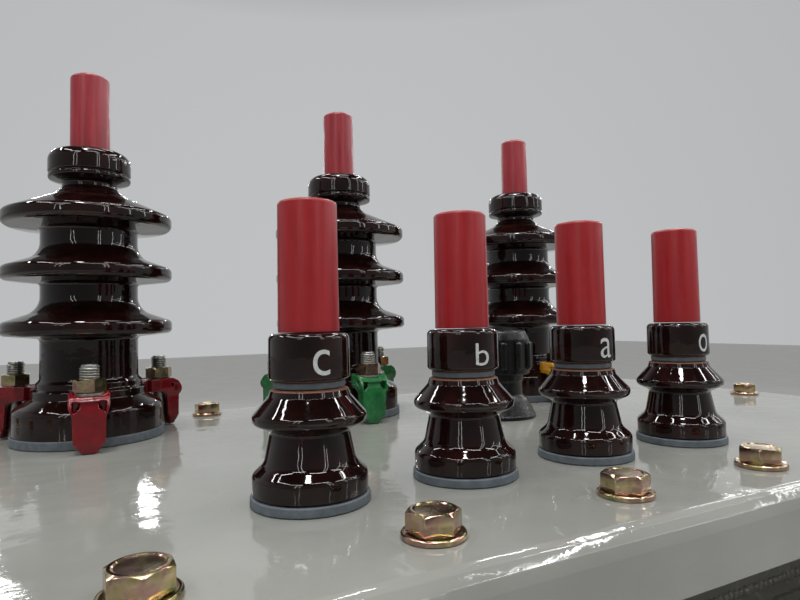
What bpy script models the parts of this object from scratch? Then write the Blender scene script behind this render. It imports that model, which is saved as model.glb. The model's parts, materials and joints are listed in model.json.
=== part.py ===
"""Oil-immersed distribution transformer with a sealed corrugated tank.

Four low-voltage bushings stand in a row along the front of the cover, three
high-voltage bushings along the back, and a tap changer between them.

Frame: the origin is on the floor under the middle of the tank, +X runs along
the long side, -Y is the low-voltage side and +Z is up.  Lengths are in metres.
"""
import math

import bmesh
import bpy
from mathutils import Matrix, Vector

# Gaps and small working sizes
SEAT_GAP = 0.0003
WELD_DISTANCE = 0.00001
CUT_OVERRUN = 0.010

# How round the turned pieces are
LV_STEPS = 18
HV_STEPS = 18
SMALL_STEPS = 20
FINE_FILLET = 0.004
SHARP_ANGLE = math.radians(38)

# Base channels, which run from front to back under the tank
CHANNEL_HEIGHT = 0.080
CHANNEL_FLANGE = 0.045
CHANNEL_WALL = 0.006
CHANNEL_LENGTH = 0.600
CHANNEL_INSET = 0.148

# Tank
TANK_LENGTH = 0.846
TANK_WIDTH = 0.388
TANK_HEIGHT = 0.8434
TANK_CORNER_RADIUS = 0.012

# Rim, an angle frame welded round the top of the tank
RIM_FLANGE_REACH = 0.052
RIM_FLANGE_THICKNESS = 0.008
RIM_LEG_THICKNESS = 0.006
RIM_HEIGHT = 0.0787

# Cover, a plate folded down all round
COVER_PLATE = 0.006
COVER_OVERHANG = 0.063
COVER_FOLD_RADIUS = 0.008
COVER_DROP = 0.037
COVER_FOLD_STEPS = 4

# Corrugated walls
FIN_THICKNESS = 0.010
FIN_END_THICKNESS = 0.003
FIN_PINCH_HEIGHT = 0.016
FIN_TOP_GAP = 0.015
FIN_BOTTOM_LEVEL = 0.140
WALL_SHEET = 0.003
WALL_SHEET_EDGE = 0.0080
LONG_WALL_FINS = 18
LONG_WALL_MARGIN = 0.0405
LONG_FIN_DEPTH = 0.131
SHORT_WALL_FINS = 8
SHORT_WALL_MARGIN = 0.0365
SHORT_FIN_DEPTH = 0.100

# Lifting lugs, welded to the short sides beside the fins
LUG_REACH = 0.056
LUG_HEIGHT = 0.095
LUG_NECK_HEIGHT = 0.050
LUG_THICKNESS = 0.012
LUG_EYE_RADIUS = 0.017
LUG_EYE_STEPS = 16
LUG_EYE_MARGIN = 0.013
LUG_CLEARANCE = 0.001
LUG_DROP = 0.010

# Drain plug, low on the right side
DRAIN_FLANGE_RADIUS = 0.026
DRAIN_FLANGE_THICKNESS = 0.006
DRAIN_NECK_RADIUS = 0.017
DRAIN_CAP_RADIUS = 0.021
DRAIN_CAP_LENGTH = 0.016
DRAIN_LENGTH = 0.036
DRAIN_HEIGHT = 0.032

# Low-voltage bushings
LV_LETTERS = ("c", "b", "a", "o")
LV_PITCH = 0.100
LV_ROW_OFFSET = 0.136
LV_GASKET_RADIUS = 0.0325
LV_GASKET_HEIGHT = 0.0050
LV_BASE_RADIUS = 0.0312
LV_BASE_EDGE = 0.0100
LV_FLARE_RADIUS = 0.0252
LV_FLARE_LEVEL = 0.0158
LV_WAIST_RADIUS = 0.0217
LV_WAIST_LEVEL = 0.0332
LV_SHED_RADIUS = 0.0308
LV_SHED_LEVEL = 0.0392
LV_SHED_EDGE = 0.0038
LV_RING_RADIUS = 0.0219
LV_RING_HEIGHT = 0.0037
LV_LOWER_HEIGHT = 0.0554
LV_NECK_GASKET_RADIUS = 0.0196
LV_NECK_GASKET_HEIGHT = 0.0040
LV_COLLAR_RADIUS = 0.0220
LV_COLLAR_HEIGHT = 0.0251
LV_COLLAR_EDGE = 0.0032
LV_CAP_RADIUS = 0.0167
LV_CAP_TOP_RADIUS = 0.0162
LV_CAP_HEIGHT = 0.0727
LV_CAP_EDGE = 0.0025
LV_CAP_DOME = 0.0015
LV_SOFT_FILLET = 0.0018
LV_FLARE_FILLET = 0.0090
LV_BASE_FILLET = 0.0040

# High-voltage bushings
HV_NAMES = ("left", "middle", "right")
HV_PITCH = 0.2375
HV_ROW_SHIFT = -0.021
HV_ROW_OFFSET = 0.142
HV_GASKET_RADIUS = 0.0605
HV_GASKET_HEIGHT = 0.0050
HV_INSULATOR_HEIGHT = 0.2458
HV_FLANGE_RADIUS = 0.0587
HV_FLANGE_EDGE = 0.0232
HV_FLANGE_FILLET = 0.0060
HV_STEP_RADIUS = 0.0418
HV_LEDGE_LEVEL = 0.0302
HV_STEP_LEVEL = 0.0440
HV_TRUNK_RADIUS = 0.0386
HV_SHED_COUNT = 3
HV_SHED_RADIUS = 0.0675
HV_SHED_PITCH = 0.0469
HV_LOWEST_SHED = 0.0901
HV_SHED_EDGE = 0.0095
HV_SHED_RISE = 0.0160
HV_SHED_DROP = 0.0090
HV_TOP_SHED_DROP = 0.0115
HV_SHED_ROOT_FILLET = 0.0130
HV_SHED_TIP_FILLET = 0.0040
HV_NECK_RADIUS = 0.0220
HV_NECK_LEVEL = 0.2085
HV_NECK_FILLET = 0.0160
HV_LIP_RADIUS = 0.0322
HV_LIP_LEVEL = 0.2165
HV_LIP_EDGE = 0.0065
HV_LIP_FILLET = 0.0018
HV_GROOVE_RADIUS = 0.0303
HV_GROOVE_WIDTH = 0.0026
HV_HEAD_RADIUS = 0.0331
HV_HEAD_FILLET = 0.0130
HV_CAP_RADIUS = 0.0160
HV_CAP_TOP_RADIUS = 0.0157
HV_CAP_HEIGHT = 0.0703
HV_CAP_EDGE = 0.0030
HV_CAP_DOME = 0.0040

# Clamps that hold the high-voltage bushings down, three round each
CLAMP_ANGLES = (-90, 30, 150)
CLAMP_NOSE_RADIUS = 0.0465
CLAMP_NOSE_HEIGHT = 0.0070
CLAMP_BROW_RADIUS = 0.0560
CLAMP_TOP = 0.0457
CLAMP_OUTER_RADIUS = 0.0840
CLAMP_SIDE_CLEARANCE = 0.0080
CLAMP_INNER_FILLET = 0.0080
CLAMP_CROWN_RADIUS = 0.0815
CLAMP_CROWN_DROP = 0.0060
CLAMP_FOOT_OUTER = 0.0820
CLAMP_FOOT_INNER = 0.0765
CLAMP_FOOT_LEVEL = 0.0110
CLAMP_KNEE_LEVEL = 0.0140
CLAMP_WIDTH = 0.0278
CLAMP_MIDDLE_WIDTH = 0.0220
CLAMP_LOW_WIDTH = 0.0196
CLAMP_FOOT_WIDTH = 0.0104
CLAMP_NOSE_WIDTH = 0.0170
CLAMP_SHOULDER_LEVEL = 0.0375
CLAMP_WAIST_LEVEL = 0.0300
CLAMP_CHAMFER_LEVEL = 0.0070
CLAMP_CORNER_CUT = 0.0040
CLAMP_RIB_WIDTH = 0.0130
CLAMP_POCKET_TOP_GAP = 0.0040
CLAMP_POCKET_HEIGHT = 0.0090
CLAMP_POCKET_DEPTH = 0.0090
CLAMP_POCKET_WEB = 0.0018

# Tap changer
TAP_X = 0.105
TAP_Y = 0.033
TAP_BASE_RADIUS = 0.0340
TAP_BASE_TOP_RADIUS = 0.0270
TAP_BASE_HEIGHT = 0.0172
TAP_BASE_EDGE = 0.0020
TAP_NECK_RADIUS = 0.0225
TAP_NECK_HEIGHT = 0.0417
TAP_CAP_RADIUS = 0.0290
TAP_CAP_SIDE = 0.0345
TAP_CAP_HEIGHT = 0.0471
TAP_CAP_FILLET = 0.0060
TAP_RIB_COUNT = 12
TAP_RIB_REACH = 0.0325
TAP_RIB_WIDTH = 0.0060
TAP_RIB_BOTTOM = 0.0048
TAP_RIB_HEIGHT = 0.0260
TAP_RIB_ROOT = 0.0240

# Levels that follow from the sizes above
TANK_BOTTOM = CHANNEL_HEIGHT + SEAT_GAP
TANK_TOP = TANK_BOTTOM + TANK_HEIGHT
COVER_TOP = TANK_TOP + SEAT_GAP + COVER_PLATE
RIM_BOTTOM = TANK_TOP - RIM_HEIGHT
COVER_SEAT = COVER_TOP + SEAT_GAP

# Colour, roughness and metallic value of each finish
FINISHES = {
    "cover_paint": ((0.31, 0.31, 0.29), 0.28, 0.0),
    "tank_paint": ((0.26, 0.25, 0.23), 0.45, 0.0),
    "dark_glaze": ((0.012, 0.005, 0.004), 0.08, 0.0),
    "grey_rubber": ((0.13, 0.15, 0.17), 0.70, 0.0),
    "red_cap": ((0.30, 0.014, 0.018), 0.45, 0.0),
    "red_paint": ((0.22, 0.006, 0.010), 0.25, 0.0),
    "green_paint": ((0.012, 0.11, 0.030), 0.25, 0.0),
    "yellow_paint": ((0.56, 0.25, 0.012), 0.25, 0.0),
    "black_plastic": ((0.010, 0.013, 0.012), 0.45, 0.0),
}


def clear_scene():
    """Start from an empty scene."""
    for old in list(bpy.data.objects):
        bpy.data.objects.remove(old, do_unlink=True)


def make_collection(name):
    """Add a collection to the scene."""
    group = bpy.data.collections.new(name)
    bpy.context.scene.collection.children.link(group)
    return group


def paint(piece, finish):
    """Give a piece a material of its own in one of the named finishes."""
    colour, roughness, metallic = FINISHES[finish]
    material = bpy.data.materials.new(f"{piece.name}_{finish}")
    material.use_nodes = True
    shader = material.node_tree.nodes["Principled BSDF"]
    shader.inputs["Base Color"].default_value = (*colour, 1.0)
    shader.inputs["Roughness"].default_value = roughness
    shader.inputs["Metallic"].default_value = metallic
    if not piece.data.materials:
        piece.data.materials.append(None)
    piece.material_slots[0].link = "OBJECT"
    piece.material_slots[0].material = material


def add_piece(name, mesh, group):
    """Put a mesh in a collection as a named object."""
    piece = bpy.data.objects.new(name, mesh)
    group.objects.link(piece)
    return piece


def add_cutter(name, mesh):
    """Put a mesh among the guide shapes, which are not part of the object."""
    cutter = add_piece(name, mesh, GUIDES)
    cutter.hide_render = True
    cutter.display_type = "WIRE"
    return cutter


def settle(piece):
    """Replace a piece's mesh by what its modifiers make of it."""
    bpy.context.view_layer.update()
    graph = bpy.context.evaluated_depsgraph_get()
    mesh = bpy.data.meshes.new_from_object(piece.evaluated_get(graph))
    piece.modifiers.clear()
    piece.data = mesh
    mesh.name = piece.name
    return mesh


def combine(piece, other, operation):
    """Cut, join or intersect a piece with a guide shape."""
    step = piece.modifiers.new(operation.title(), "BOOLEAN")
    step.operation = operation
    step.solver = "EXACT"
    step.object = other


def smooth(mesh):
    """Shade a mesh smooth except across its sharp edges."""
    mesh.shade_smooth()
    mesh.set_sharp_from_angle(angle=SHARP_ANGLE)


def box_mesh(name, low, high):
    """A box between two opposite corners."""
    size = [high[i] - low[i] for i in range(3)]
    middle = [(high[i] + low[i]) / 2 for i in range(3)]
    shape = bmesh.new()
    bmesh.ops.create_cube(shape, size=1.0)
    place = Matrix.LocRotScale(Vector(middle), None, Vector(size))
    bmesh.ops.transform(shape, matrix=place, verts=shape.verts)
    mesh = bpy.data.meshes.new(name)
    shape.to_mesh(mesh)
    shape.free()
    return mesh


def outline_mesh(name, outlines, low, high, matrix):
    """A flat outline, with any holes, thickened from low to high and then placed by a matrix."""
    curve = bpy.data.curves.new(name, "CURVE")
    curve.dimensions = "2D"
    curve.fill_mode = "BOTH"
    curve.extrude = (high - low) / 2
    for points in outlines:
        line = curve.splines.new("POLY")
        line.points.add(len(points) - 1)
        for point, (across, up) in zip(line.points, points):
            point.co = (across, up, 0, 1)
        line.use_cyclic_u = True
    holder = bpy.data.objects.new(name, curve)
    GUIDES.objects.link(holder)
    bpy.context.view_layer.update()
    graph = bpy.context.evaluated_depsgraph_get()
    mesh = bpy.data.meshes.new_from_object(holder.evaluated_get(graph))
    bpy.data.objects.remove(holder, do_unlink=True)
    shape = bmesh.new()
    shape.from_mesh(mesh)
    bmesh.ops.remove_doubles(shape, verts=shape.verts, dist=WELD_DISTANCE)
    lift = Matrix.Translation((0, 0, (high + low) / 2))
    bmesh.ops.transform(shape, matrix=matrix @ lift, verts=shape.verts)
    bmesh.ops.recalc_face_normals(shape, faces=shape.faces)
    shape.to_mesh(mesh)
    shape.free()
    return mesh


def rounded(corners):
    """Follow (radius, height) corners; a third value rounds the corner off, a fine one as a chamfer."""
    points = []
    for index, corner in enumerate(corners):
        here = Vector(corner[:2])
        radius = corner[2] if len(corner) > 2 else 0
        if not radius:
            points.append(here)
            continue
        before = Vector(corners[index - 1][:2]) - here
        after = Vector(corners[index + 1][:2]) - here
        half_turn = before.angle(after) / 2
        reach = min(radius / math.tan(half_turn), before.length / 2, after.length / 2)
        start = here + before.normalized() * reach
        end = here + after.normalized() * reach
        centre = here + (before.normalized() + after.normalized()).normalized() * reach / math.cos(half_turn)
        steps = 1 if radius <= FINE_FILLET else 2
        for step in range(steps + 1):
            share = step / steps
            chord = start.lerp(end, share) - centre
            points.append(centre + chord.normalized() * (start - centre).length)
    return points


def dome(radius, top, rise, steps=2):
    """Points of a shallow dome, from its middle out to the given radius."""
    ball = (radius ** 2 + rise ** 2) / (2 * rise)
    spread = math.asin(radius / ball)
    points = []
    for step in range(steps):
        angle = spread * step / steps
        points.append((ball * math.sin(angle), top - ball * (1 - math.cos(angle))))
    return points


def turned_mesh(name, corners, steps):
    """Turn an outline, which runs from the top down its outer side, round the Z axis."""
    points = rounded(corners)
    profile = bpy.data.meshes.new(name)
    edges = [(i, i + 1) for i in range(len(points) - 1)]
    profile.from_pydata([(radius, 0, height) for radius, height in points], edges, [])
    holder = add_cutter(name, profile)
    screw = holder.modifiers.new("Turn", "SCREW")
    screw.steps = steps
    screw.render_steps = steps
    screw.use_merge_vertices = True
    screw.merge_threshold = WELD_DISTANCE
    mesh = settle(holder)
    bpy.data.objects.remove(holder, do_unlink=True)
    smooth(mesh)
    return mesh


def stack(x, y, layers):
    """Seat turned layers on each other, each a name, a mesh, a height and a finish."""
    level = COVER_SEAT
    for name, mesh, height, finish in layers:
        piece = add_piece(name, mesh, PARTS)
        piece.location = (x, y, level)
        paint(piece, finish)
        level += height + SEAT_GAP


def disc_corners(radius, height, fillet):
    """Outline of a plain disc with soft edges."""
    return [(0, height), (radius, height, fillet), (radius, 0, fillet), (0, 0)]


def cap_corners(radius, top_radius, height, edge, rise):
    """Outline of a soft sleeve closed by a shallow dome."""
    corners = dome(top_radius, height, rise)
    return corners + [(top_radius, height - rise, edge), (radius, 0), (0, 0)]


def base_channels():
    """Two channels with their flanges turned inwards."""
    back = TANK_LENGTH / 2 - CHANNEL_INSET + CHANNEL_FLANGE / 2
    lip = back - CHANNEL_FLANGE
    web = back - CHANNEL_WALL
    upper = CHANNEL_HEIGHT - CHANNEL_WALL
    outline = [(back, 0), (back, CHANNEL_HEIGHT), (lip, CHANNEL_HEIGHT), (lip, upper),
               (web, upper), (web, CHANNEL_WALL), (lip, CHANNEL_WALL), (lip, 0)]
    upright = Matrix.Rotation(math.pi / 2, 4, "X")
    for name, side in (("left", -1), ("right", 1)):
        points = [(side * across, up) for across, up in outline]
        mesh = outline_mesh(f"base_channel_{name}", [points],
                            -CHANNEL_LENGTH / 2, CHANNEL_LENGTH / 2, upright)
        paint(add_piece(mesh.name, mesh, PARTS), "tank_paint")


def tank_body():
    """The closed body of the tank, filled as it is by the core, the windings and the oil."""
    low = (-TANK_LENGTH / 2, -TANK_WIDTH / 2, TANK_BOTTOM)
    high = (TANK_LENGTH / 2, TANK_WIDTH / 2, TANK_TOP)
    piece = add_piece("tank_body", box_mesh("tank_body", low, high), PARTS)
    weight = piece.data.attributes.new("bevel_weight_edge", "FLOAT", "EDGE")
    for edge in piece.data.edges:
        ends = [piece.data.vertices[i].co for i in edge.vertices]
        weight.data[edge.index].value = 1.0 if ends[0].xy == ends[1].xy else 0.0
    corners = piece.modifiers.new("Corners", "BEVEL")
    corners.limit_method = "WEIGHT"
    corners.width = TANK_CORNER_RADIUS
    corners.segments = 3
    paint(piece, "tank_paint")


def tank_rim():
    """An angle frame: its flange carries the cover and its leg is welded to the tank."""
    half_x = TANK_LENGTH / 2
    half_y = TANK_WIDTH / 2

    def frame(reach, low, high):
        return (-half_x - reach, -half_y - reach, low), (half_x + reach, half_y + reach, high)

    flange = frame(RIM_FLANGE_REACH, TANK_TOP - RIM_FLANGE_THICKNESS, TANK_TOP)
    leg = frame(RIM_LEG_THICKNESS, RIM_BOTTOM, TANK_TOP - RIM_FLANGE_THICKNESS / 2)
    hole = frame(SEAT_GAP, RIM_BOTTOM - CUT_OVERRUN, TANK_TOP + CUT_OVERRUN)
    piece = add_piece("tank_rim", box_mesh("tank_rim", *flange), PARTS)
    combine(piece, add_cutter("rim_leg", box_mesh("rim_leg", *leg)), "UNION")
    combine(piece, add_cutter("rim_hole", box_mesh("rim_hole", *hole)), "DIFFERENCE")
    paint(piece, "tank_paint")


def cover():
    """A plate with its edges folded down in a round bend."""
    half_x = TANK_LENGTH / 2 + COVER_OVERHANG
    half_y = TANK_WIDTH / 2 + COVER_OVERHANG
    mesh = box_mesh("cover", (-half_x, -half_y, COVER_TOP - COVER_DROP), (half_x, half_y, COVER_TOP))
    shape = bmesh.new()
    shape.from_mesh(mesh)
    under = min(shape.faces, key=lambda face: face.calc_center_median().z)
    bmesh.ops.delete(shape, geom=[under], context="FACES")
    shape.to_mesh(mesh)
    shape.free()
    piece = add_piece("cover", mesh, PARTS)
    bend = piece.modifiers.new("Bend", "BEVEL")
    bend.width = COVER_FOLD_RADIUS
    bend.segments = COVER_FOLD_STEPS
    plate = piece.modifiers.new("Plate", "SOLIDIFY")
    plate.thickness = COVER_PLATE
    plate.offset = -1
    plate.use_even_offset = True
    settle(piece)
    smooth(piece.data)
    paint(piece, "cover_paint")


def fin_places(side_length, margin, count):
    """Centres of evenly spaced fins, the outer ones a margin in from the tank's corners."""
    half = side_length / 2 - margin
    return [half * (2 * index / (count - 1) - 1) for index in range(count)]


def wall_half_width(side_length, margin):
    """Half the width of a corrugated wall's sheet, which ends a little past its outer fins."""
    return side_length / 2 - margin + FIN_THICKNESS / 2 + WALL_SHEET_EDGE


def comb_outline(places, half, depth):
    """Plan outline of a corrugated wall: a sheet with fins whose outer edges are rounded."""
    radius = FIN_THICKNESS / 2
    points = [(half, 0), (half, WALL_SHEET)]
    for centre in reversed(places):
        points.append((centre + radius, WALL_SHEET))
        for step in range(5):
            angle = math.pi * step / 4
            points.append((centre + radius * math.cos(angle), depth - radius + radius * math.sin(angle)))
        points.append((centre - radius, WALL_SHEET))
    return points + [(-half, WALL_SHEET), (-half, 0)]


def corrugated_wall(name, places, half, depth, turn, distance):
    """A wall of fins, each pressed thin and welded at its top and bottom edge."""
    low = FIN_BOTTOM_LEVEL
    high = RIM_BOTTOM - FIN_TOP_GAP
    mesh = outline_mesh(name, [comb_outline(places, half, depth)], low, high, Matrix.Identity(4))
    shape = bmesh.new()
    shape.from_mesh(mesh)
    for level in (low + FIN_PINCH_HEIGHT, high - FIN_PINCH_HEIGHT):
        everything = list(shape.verts) + list(shape.edges) + list(shape.faces)
        bmesh.ops.bisect_plane(shape, geom=everything, plane_co=(0, 0, level), plane_no=(0, 0, 1))
    pinch = FIN_END_THICKNESS / FIN_THICKNESS
    ends = [v for v in shape.verts if min(v.co.z - low, high - v.co.z) < FIN_PINCH_HEIGHT / 2]
    for vertex in ends:
        centre = min(places, key=lambda place: abs(place - vertex.co.x))
        if abs(vertex.co.x - centre) < FIN_THICKNESS / 2 + WELD_DISTANCE and vertex.co.y > WALL_SHEET / 2:
            vertex.co.x = centre + (vertex.co.x - centre) * pinch
    place = Matrix.Rotation(turn, 4, "Z") @ Matrix.Translation((0, distance + SEAT_GAP, 0))
    bmesh.ops.transform(shape, matrix=place, verts=shape.verts)
    bmesh.ops.triangulate(shape, faces=shape.faces)
    shape.to_mesh(mesh)
    shape.free()
    paint(add_piece(name, mesh, PARTS), "tank_paint")


def corrugated_walls():
    """Deep fins on the long sides and shallower ones on the short sides."""
    long_places = fin_places(TANK_LENGTH, LONG_WALL_MARGIN, LONG_WALL_FINS)
    long_half = wall_half_width(TANK_LENGTH, LONG_WALL_MARGIN)
    short_places = fin_places(TANK_WIDTH, SHORT_WALL_MARGIN, SHORT_WALL_FINS)
    short_half = wall_half_width(TANK_WIDTH, SHORT_WALL_MARGIN)
    for name, turn in (("back", 0), ("front", math.pi)):
        corrugated_wall(f"corrugated_wall_{name}", long_places, long_half,
                        LONG_FIN_DEPTH, turn, TANK_WIDTH / 2)
    for name, turn in (("left", math.pi / 2), ("right", -math.pi / 2)):
        corrugated_wall(f"corrugated_wall_{name}", short_places, short_half,
                        SHORT_FIN_DEPTH, turn, TANK_LENGTH / 2)


def circle(x, y, radius, steps):
    """Points round a circle."""
    turns = [2 * math.pi * step / steps for step in range(steps)]
    return [(x + radius * math.cos(turn), y + radius * math.sin(turn)) for turn in turns]


def lifting_lugs():
    """Four plates with an eye for a sling, two on each short side."""
    near = TANK_LENGTH / 2 + SEAT_GAP
    far = near + LUG_REACH
    top = RIM_BOTTOM - LUG_DROP
    eye_x = far - LUG_EYE_MARGIN - LUG_EYE_RADIUS
    eye_z = top - LUG_EYE_MARGIN - LUG_EYE_RADIUS
    nose = LUG_EYE_MARGIN
    plate = [(near, top - LUG_HEIGHT), (near, top), (far - nose, top), (far, top - nose),
             (far, top - LUG_NECK_HEIGHT)]
    middle_y = wall_half_width(TANK_WIDTH, SHORT_WALL_MARGIN) + LUG_CLEARANCE + LUG_THICKNESS / 2
    for side_name, side in (("left", -1), ("right", 1)):
        for end_name, end in (("front", -1), ("back", 1)):
            name = f"lifting_lug_{end_name}_{side_name}"
            outlines = [[(side * x, z) for x, z in points]
                        for points in (plate, circle(eye_x, eye_z, LUG_EYE_RADIUS, LUG_EYE_STEPS))]
            middle = Matrix.Translation((0, end * middle_y, 0))
            upright = middle @ Matrix.Rotation(math.pi / 2, 4, "X")
            mesh = outline_mesh(name, outlines, -LUG_THICKNESS / 2, LUG_THICKNESS / 2, upright)
            paint(add_piece(name, mesh, PARTS), "tank_paint")


def drain_plug():
    """A flanged boss with its cap, where the oil is let out."""
    cap_start = DRAIN_LENGTH - DRAIN_CAP_LENGTH
    corners = [(0, DRAIN_LENGTH), (DRAIN_CAP_RADIUS, DRAIN_LENGTH), (DRAIN_CAP_RADIUS, cap_start),
               (DRAIN_NECK_RADIUS, cap_start), (DRAIN_NECK_RADIUS, DRAIN_FLANGE_THICKNESS),
               (DRAIN_FLANGE_RADIUS, DRAIN_FLANGE_THICKNESS), (DRAIN_FLANGE_RADIUS, 0), (0, 0)]
    piece = add_piece("drain_plug", turned_mesh("drain_plug", corners, SMALL_STEPS), PARTS)
    piece.rotation_euler = (0, math.pi / 2, 0)
    piece.location = (TANK_LENGTH / 2 + SEAT_GAP, 0, TANK_BOTTOM + DRAIN_HEIGHT)
    paint(piece, "tank_paint")


def lv_lower_corners():
    """Lower porcelain: a bare ring on top, one shed, a waist and a flared base."""
    shed_top = LV_SHED_LEVEL + LV_SHED_EDGE / 2
    shed_under = LV_SHED_LEVEL - LV_SHED_EDGE / 2
    return [
        (0, LV_LOWER_HEIGHT),
        (LV_RING_RADIUS, LV_LOWER_HEIGHT),
        (LV_RING_RADIUS, LV_LOWER_HEIGHT - LV_RING_HEIGHT),
        (LV_SHED_RADIUS, shed_top, LV_SOFT_FILLET),
        (LV_SHED_RADIUS, shed_under, LV_SOFT_FILLET),
        (LV_WAIST_RADIUS, LV_WAIST_LEVEL, LV_SOFT_FILLET),
        (LV_FLARE_RADIUS, LV_FLARE_LEVEL, LV_FLARE_FILLET),
        (LV_BASE_RADIUS, LV_BASE_EDGE, LV_BASE_FILLET),
        (LV_BASE_RADIUS, 0),
        (0, 0),
    ]


def lv_bushings():
    """Four low-voltage bushings in a row, each a stack of turned pieces under a red sleeve."""
    gasket = turned_mesh("lv_gasket", disc_corners(LV_GASKET_RADIUS, LV_GASKET_HEIGHT, 0), LV_STEPS)
    lower = turned_mesh("lv_lower", lv_lower_corners(), LV_STEPS)
    neck = turned_mesh("lv_neck", disc_corners(LV_NECK_GASKET_RADIUS, LV_NECK_GASKET_HEIGHT, 0), LV_STEPS)
    collar_corners = disc_corners(LV_COLLAR_RADIUS, LV_COLLAR_HEIGHT, LV_COLLAR_EDGE)
    collar = turned_mesh("lv_collar", collar_corners, LV_STEPS)
    sleeve_corners = cap_corners(LV_CAP_RADIUS, LV_CAP_TOP_RADIUS, LV_CAP_HEIGHT, LV_CAP_EDGE, LV_CAP_DOME)
    sleeve = turned_mesh("lv_sleeve", sleeve_corners, LV_STEPS)
    for index, letter in enumerate(LV_LETTERS):
        x = LV_PITCH * (index - (len(LV_LETTERS) - 1) / 2)
        stack(x, -LV_ROW_OFFSET, (
            (f"lv_{letter}_base_gasket", gasket, LV_GASKET_HEIGHT, "grey_rubber"),
            (f"lv_{letter}_lower_insulator", lower, LV_LOWER_HEIGHT, "dark_glaze"),
            (f"lv_{letter}_neck_gasket", neck, LV_NECK_GASKET_HEIGHT, "grey_rubber"),
            (f"lv_{letter}_upper_insulator", collar, LV_COLLAR_HEIGHT, "dark_glaze"),
            (f"lv_{letter}_cap", sleeve, LV_CAP_HEIGHT, "red_cap"),
        ))


def hv_insulator_corners():
    """Tall porcelain: a grooved head, wide sheds on a trunk, and a flange at the foot."""
    lip_top = HV_LIP_LEVEL + HV_LIP_EDGE
    groove_top = lip_top + HV_GROOVE_WIDTH
    highest = HV_LOWEST_SHED + HV_SHED_PITCH * (HV_SHED_COUNT - 1)
    corners = [
        (0, HV_INSULATOR_HEIGHT),
        (HV_HEAD_RADIUS, HV_INSULATOR_HEIGHT, HV_HEAD_FILLET),
        (HV_HEAD_RADIUS, groove_top, HV_LIP_FILLET),
        (HV_GROOVE_RADIUS, (lip_top + groove_top) / 2),
        (HV_LIP_RADIUS, lip_top, HV_LIP_FILLET),
        (HV_LIP_RADIUS, HV_LIP_LEVEL, HV_LIP_FILLET),
        (HV_NECK_RADIUS, HV_LIP_LEVEL - HV_LIP_EDGE / 4),
    ]
    root = (HV_NECK_RADIUS, HV_NECK_LEVEL, HV_NECK_FILLET)
    drop = HV_TOP_SHED_DROP
    for index in range(HV_SHED_COUNT):
        tip = highest - HV_SHED_PITCH * index
        corners += [
            root,
            (HV_SHED_RADIUS, tip + HV_SHED_EDGE / 2, HV_SHED_TIP_FILLET),
            (HV_SHED_RADIUS, tip - HV_SHED_EDGE / 2, HV_SHED_TIP_FILLET),
            (HV_TRUNK_RADIUS, tip - drop),
        ]
        root = (HV_TRUNK_RADIUS, tip - HV_SHED_PITCH + HV_SHED_RISE, HV_SHED_ROOT_FILLET)
        drop = HV_SHED_DROP
    return corners + [
        (HV_TRUNK_RADIUS, HV_STEP_LEVEL + HV_STEP_RADIUS - HV_TRUNK_RADIUS),
        (HV_STEP_RADIUS, HV_STEP_LEVEL),
        (HV_STEP_RADIUS, HV_LEDGE_LEVEL),
        (HV_FLANGE_RADIUS, HV_FLANGE_EDGE, HV_FLANGE_FILLET),
        (HV_FLANGE_RADIUS, 0),
        (0, 0),
    ]


def hv_places():
    """Where the axes of the high-voltage bushings stand along X."""
    return [HV_ROW_SHIFT + HV_PITCH * (index - (len(HV_NAMES) - 1) / 2) for index in range(len(HV_NAMES))]


def ledge_height(radius):
    """Height of the flange's sloping top at a radius, above the seat of the clamps."""
    fall = (HV_LEDGE_LEVEL - HV_FLANGE_EDGE) / (HV_FLANGE_RADIUS - HV_STEP_RADIUS)
    return HV_GASKET_HEIGHT + SEAT_GAP + HV_LEDGE_LEVEL - fall * (radius - HV_STEP_RADIUS)


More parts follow.
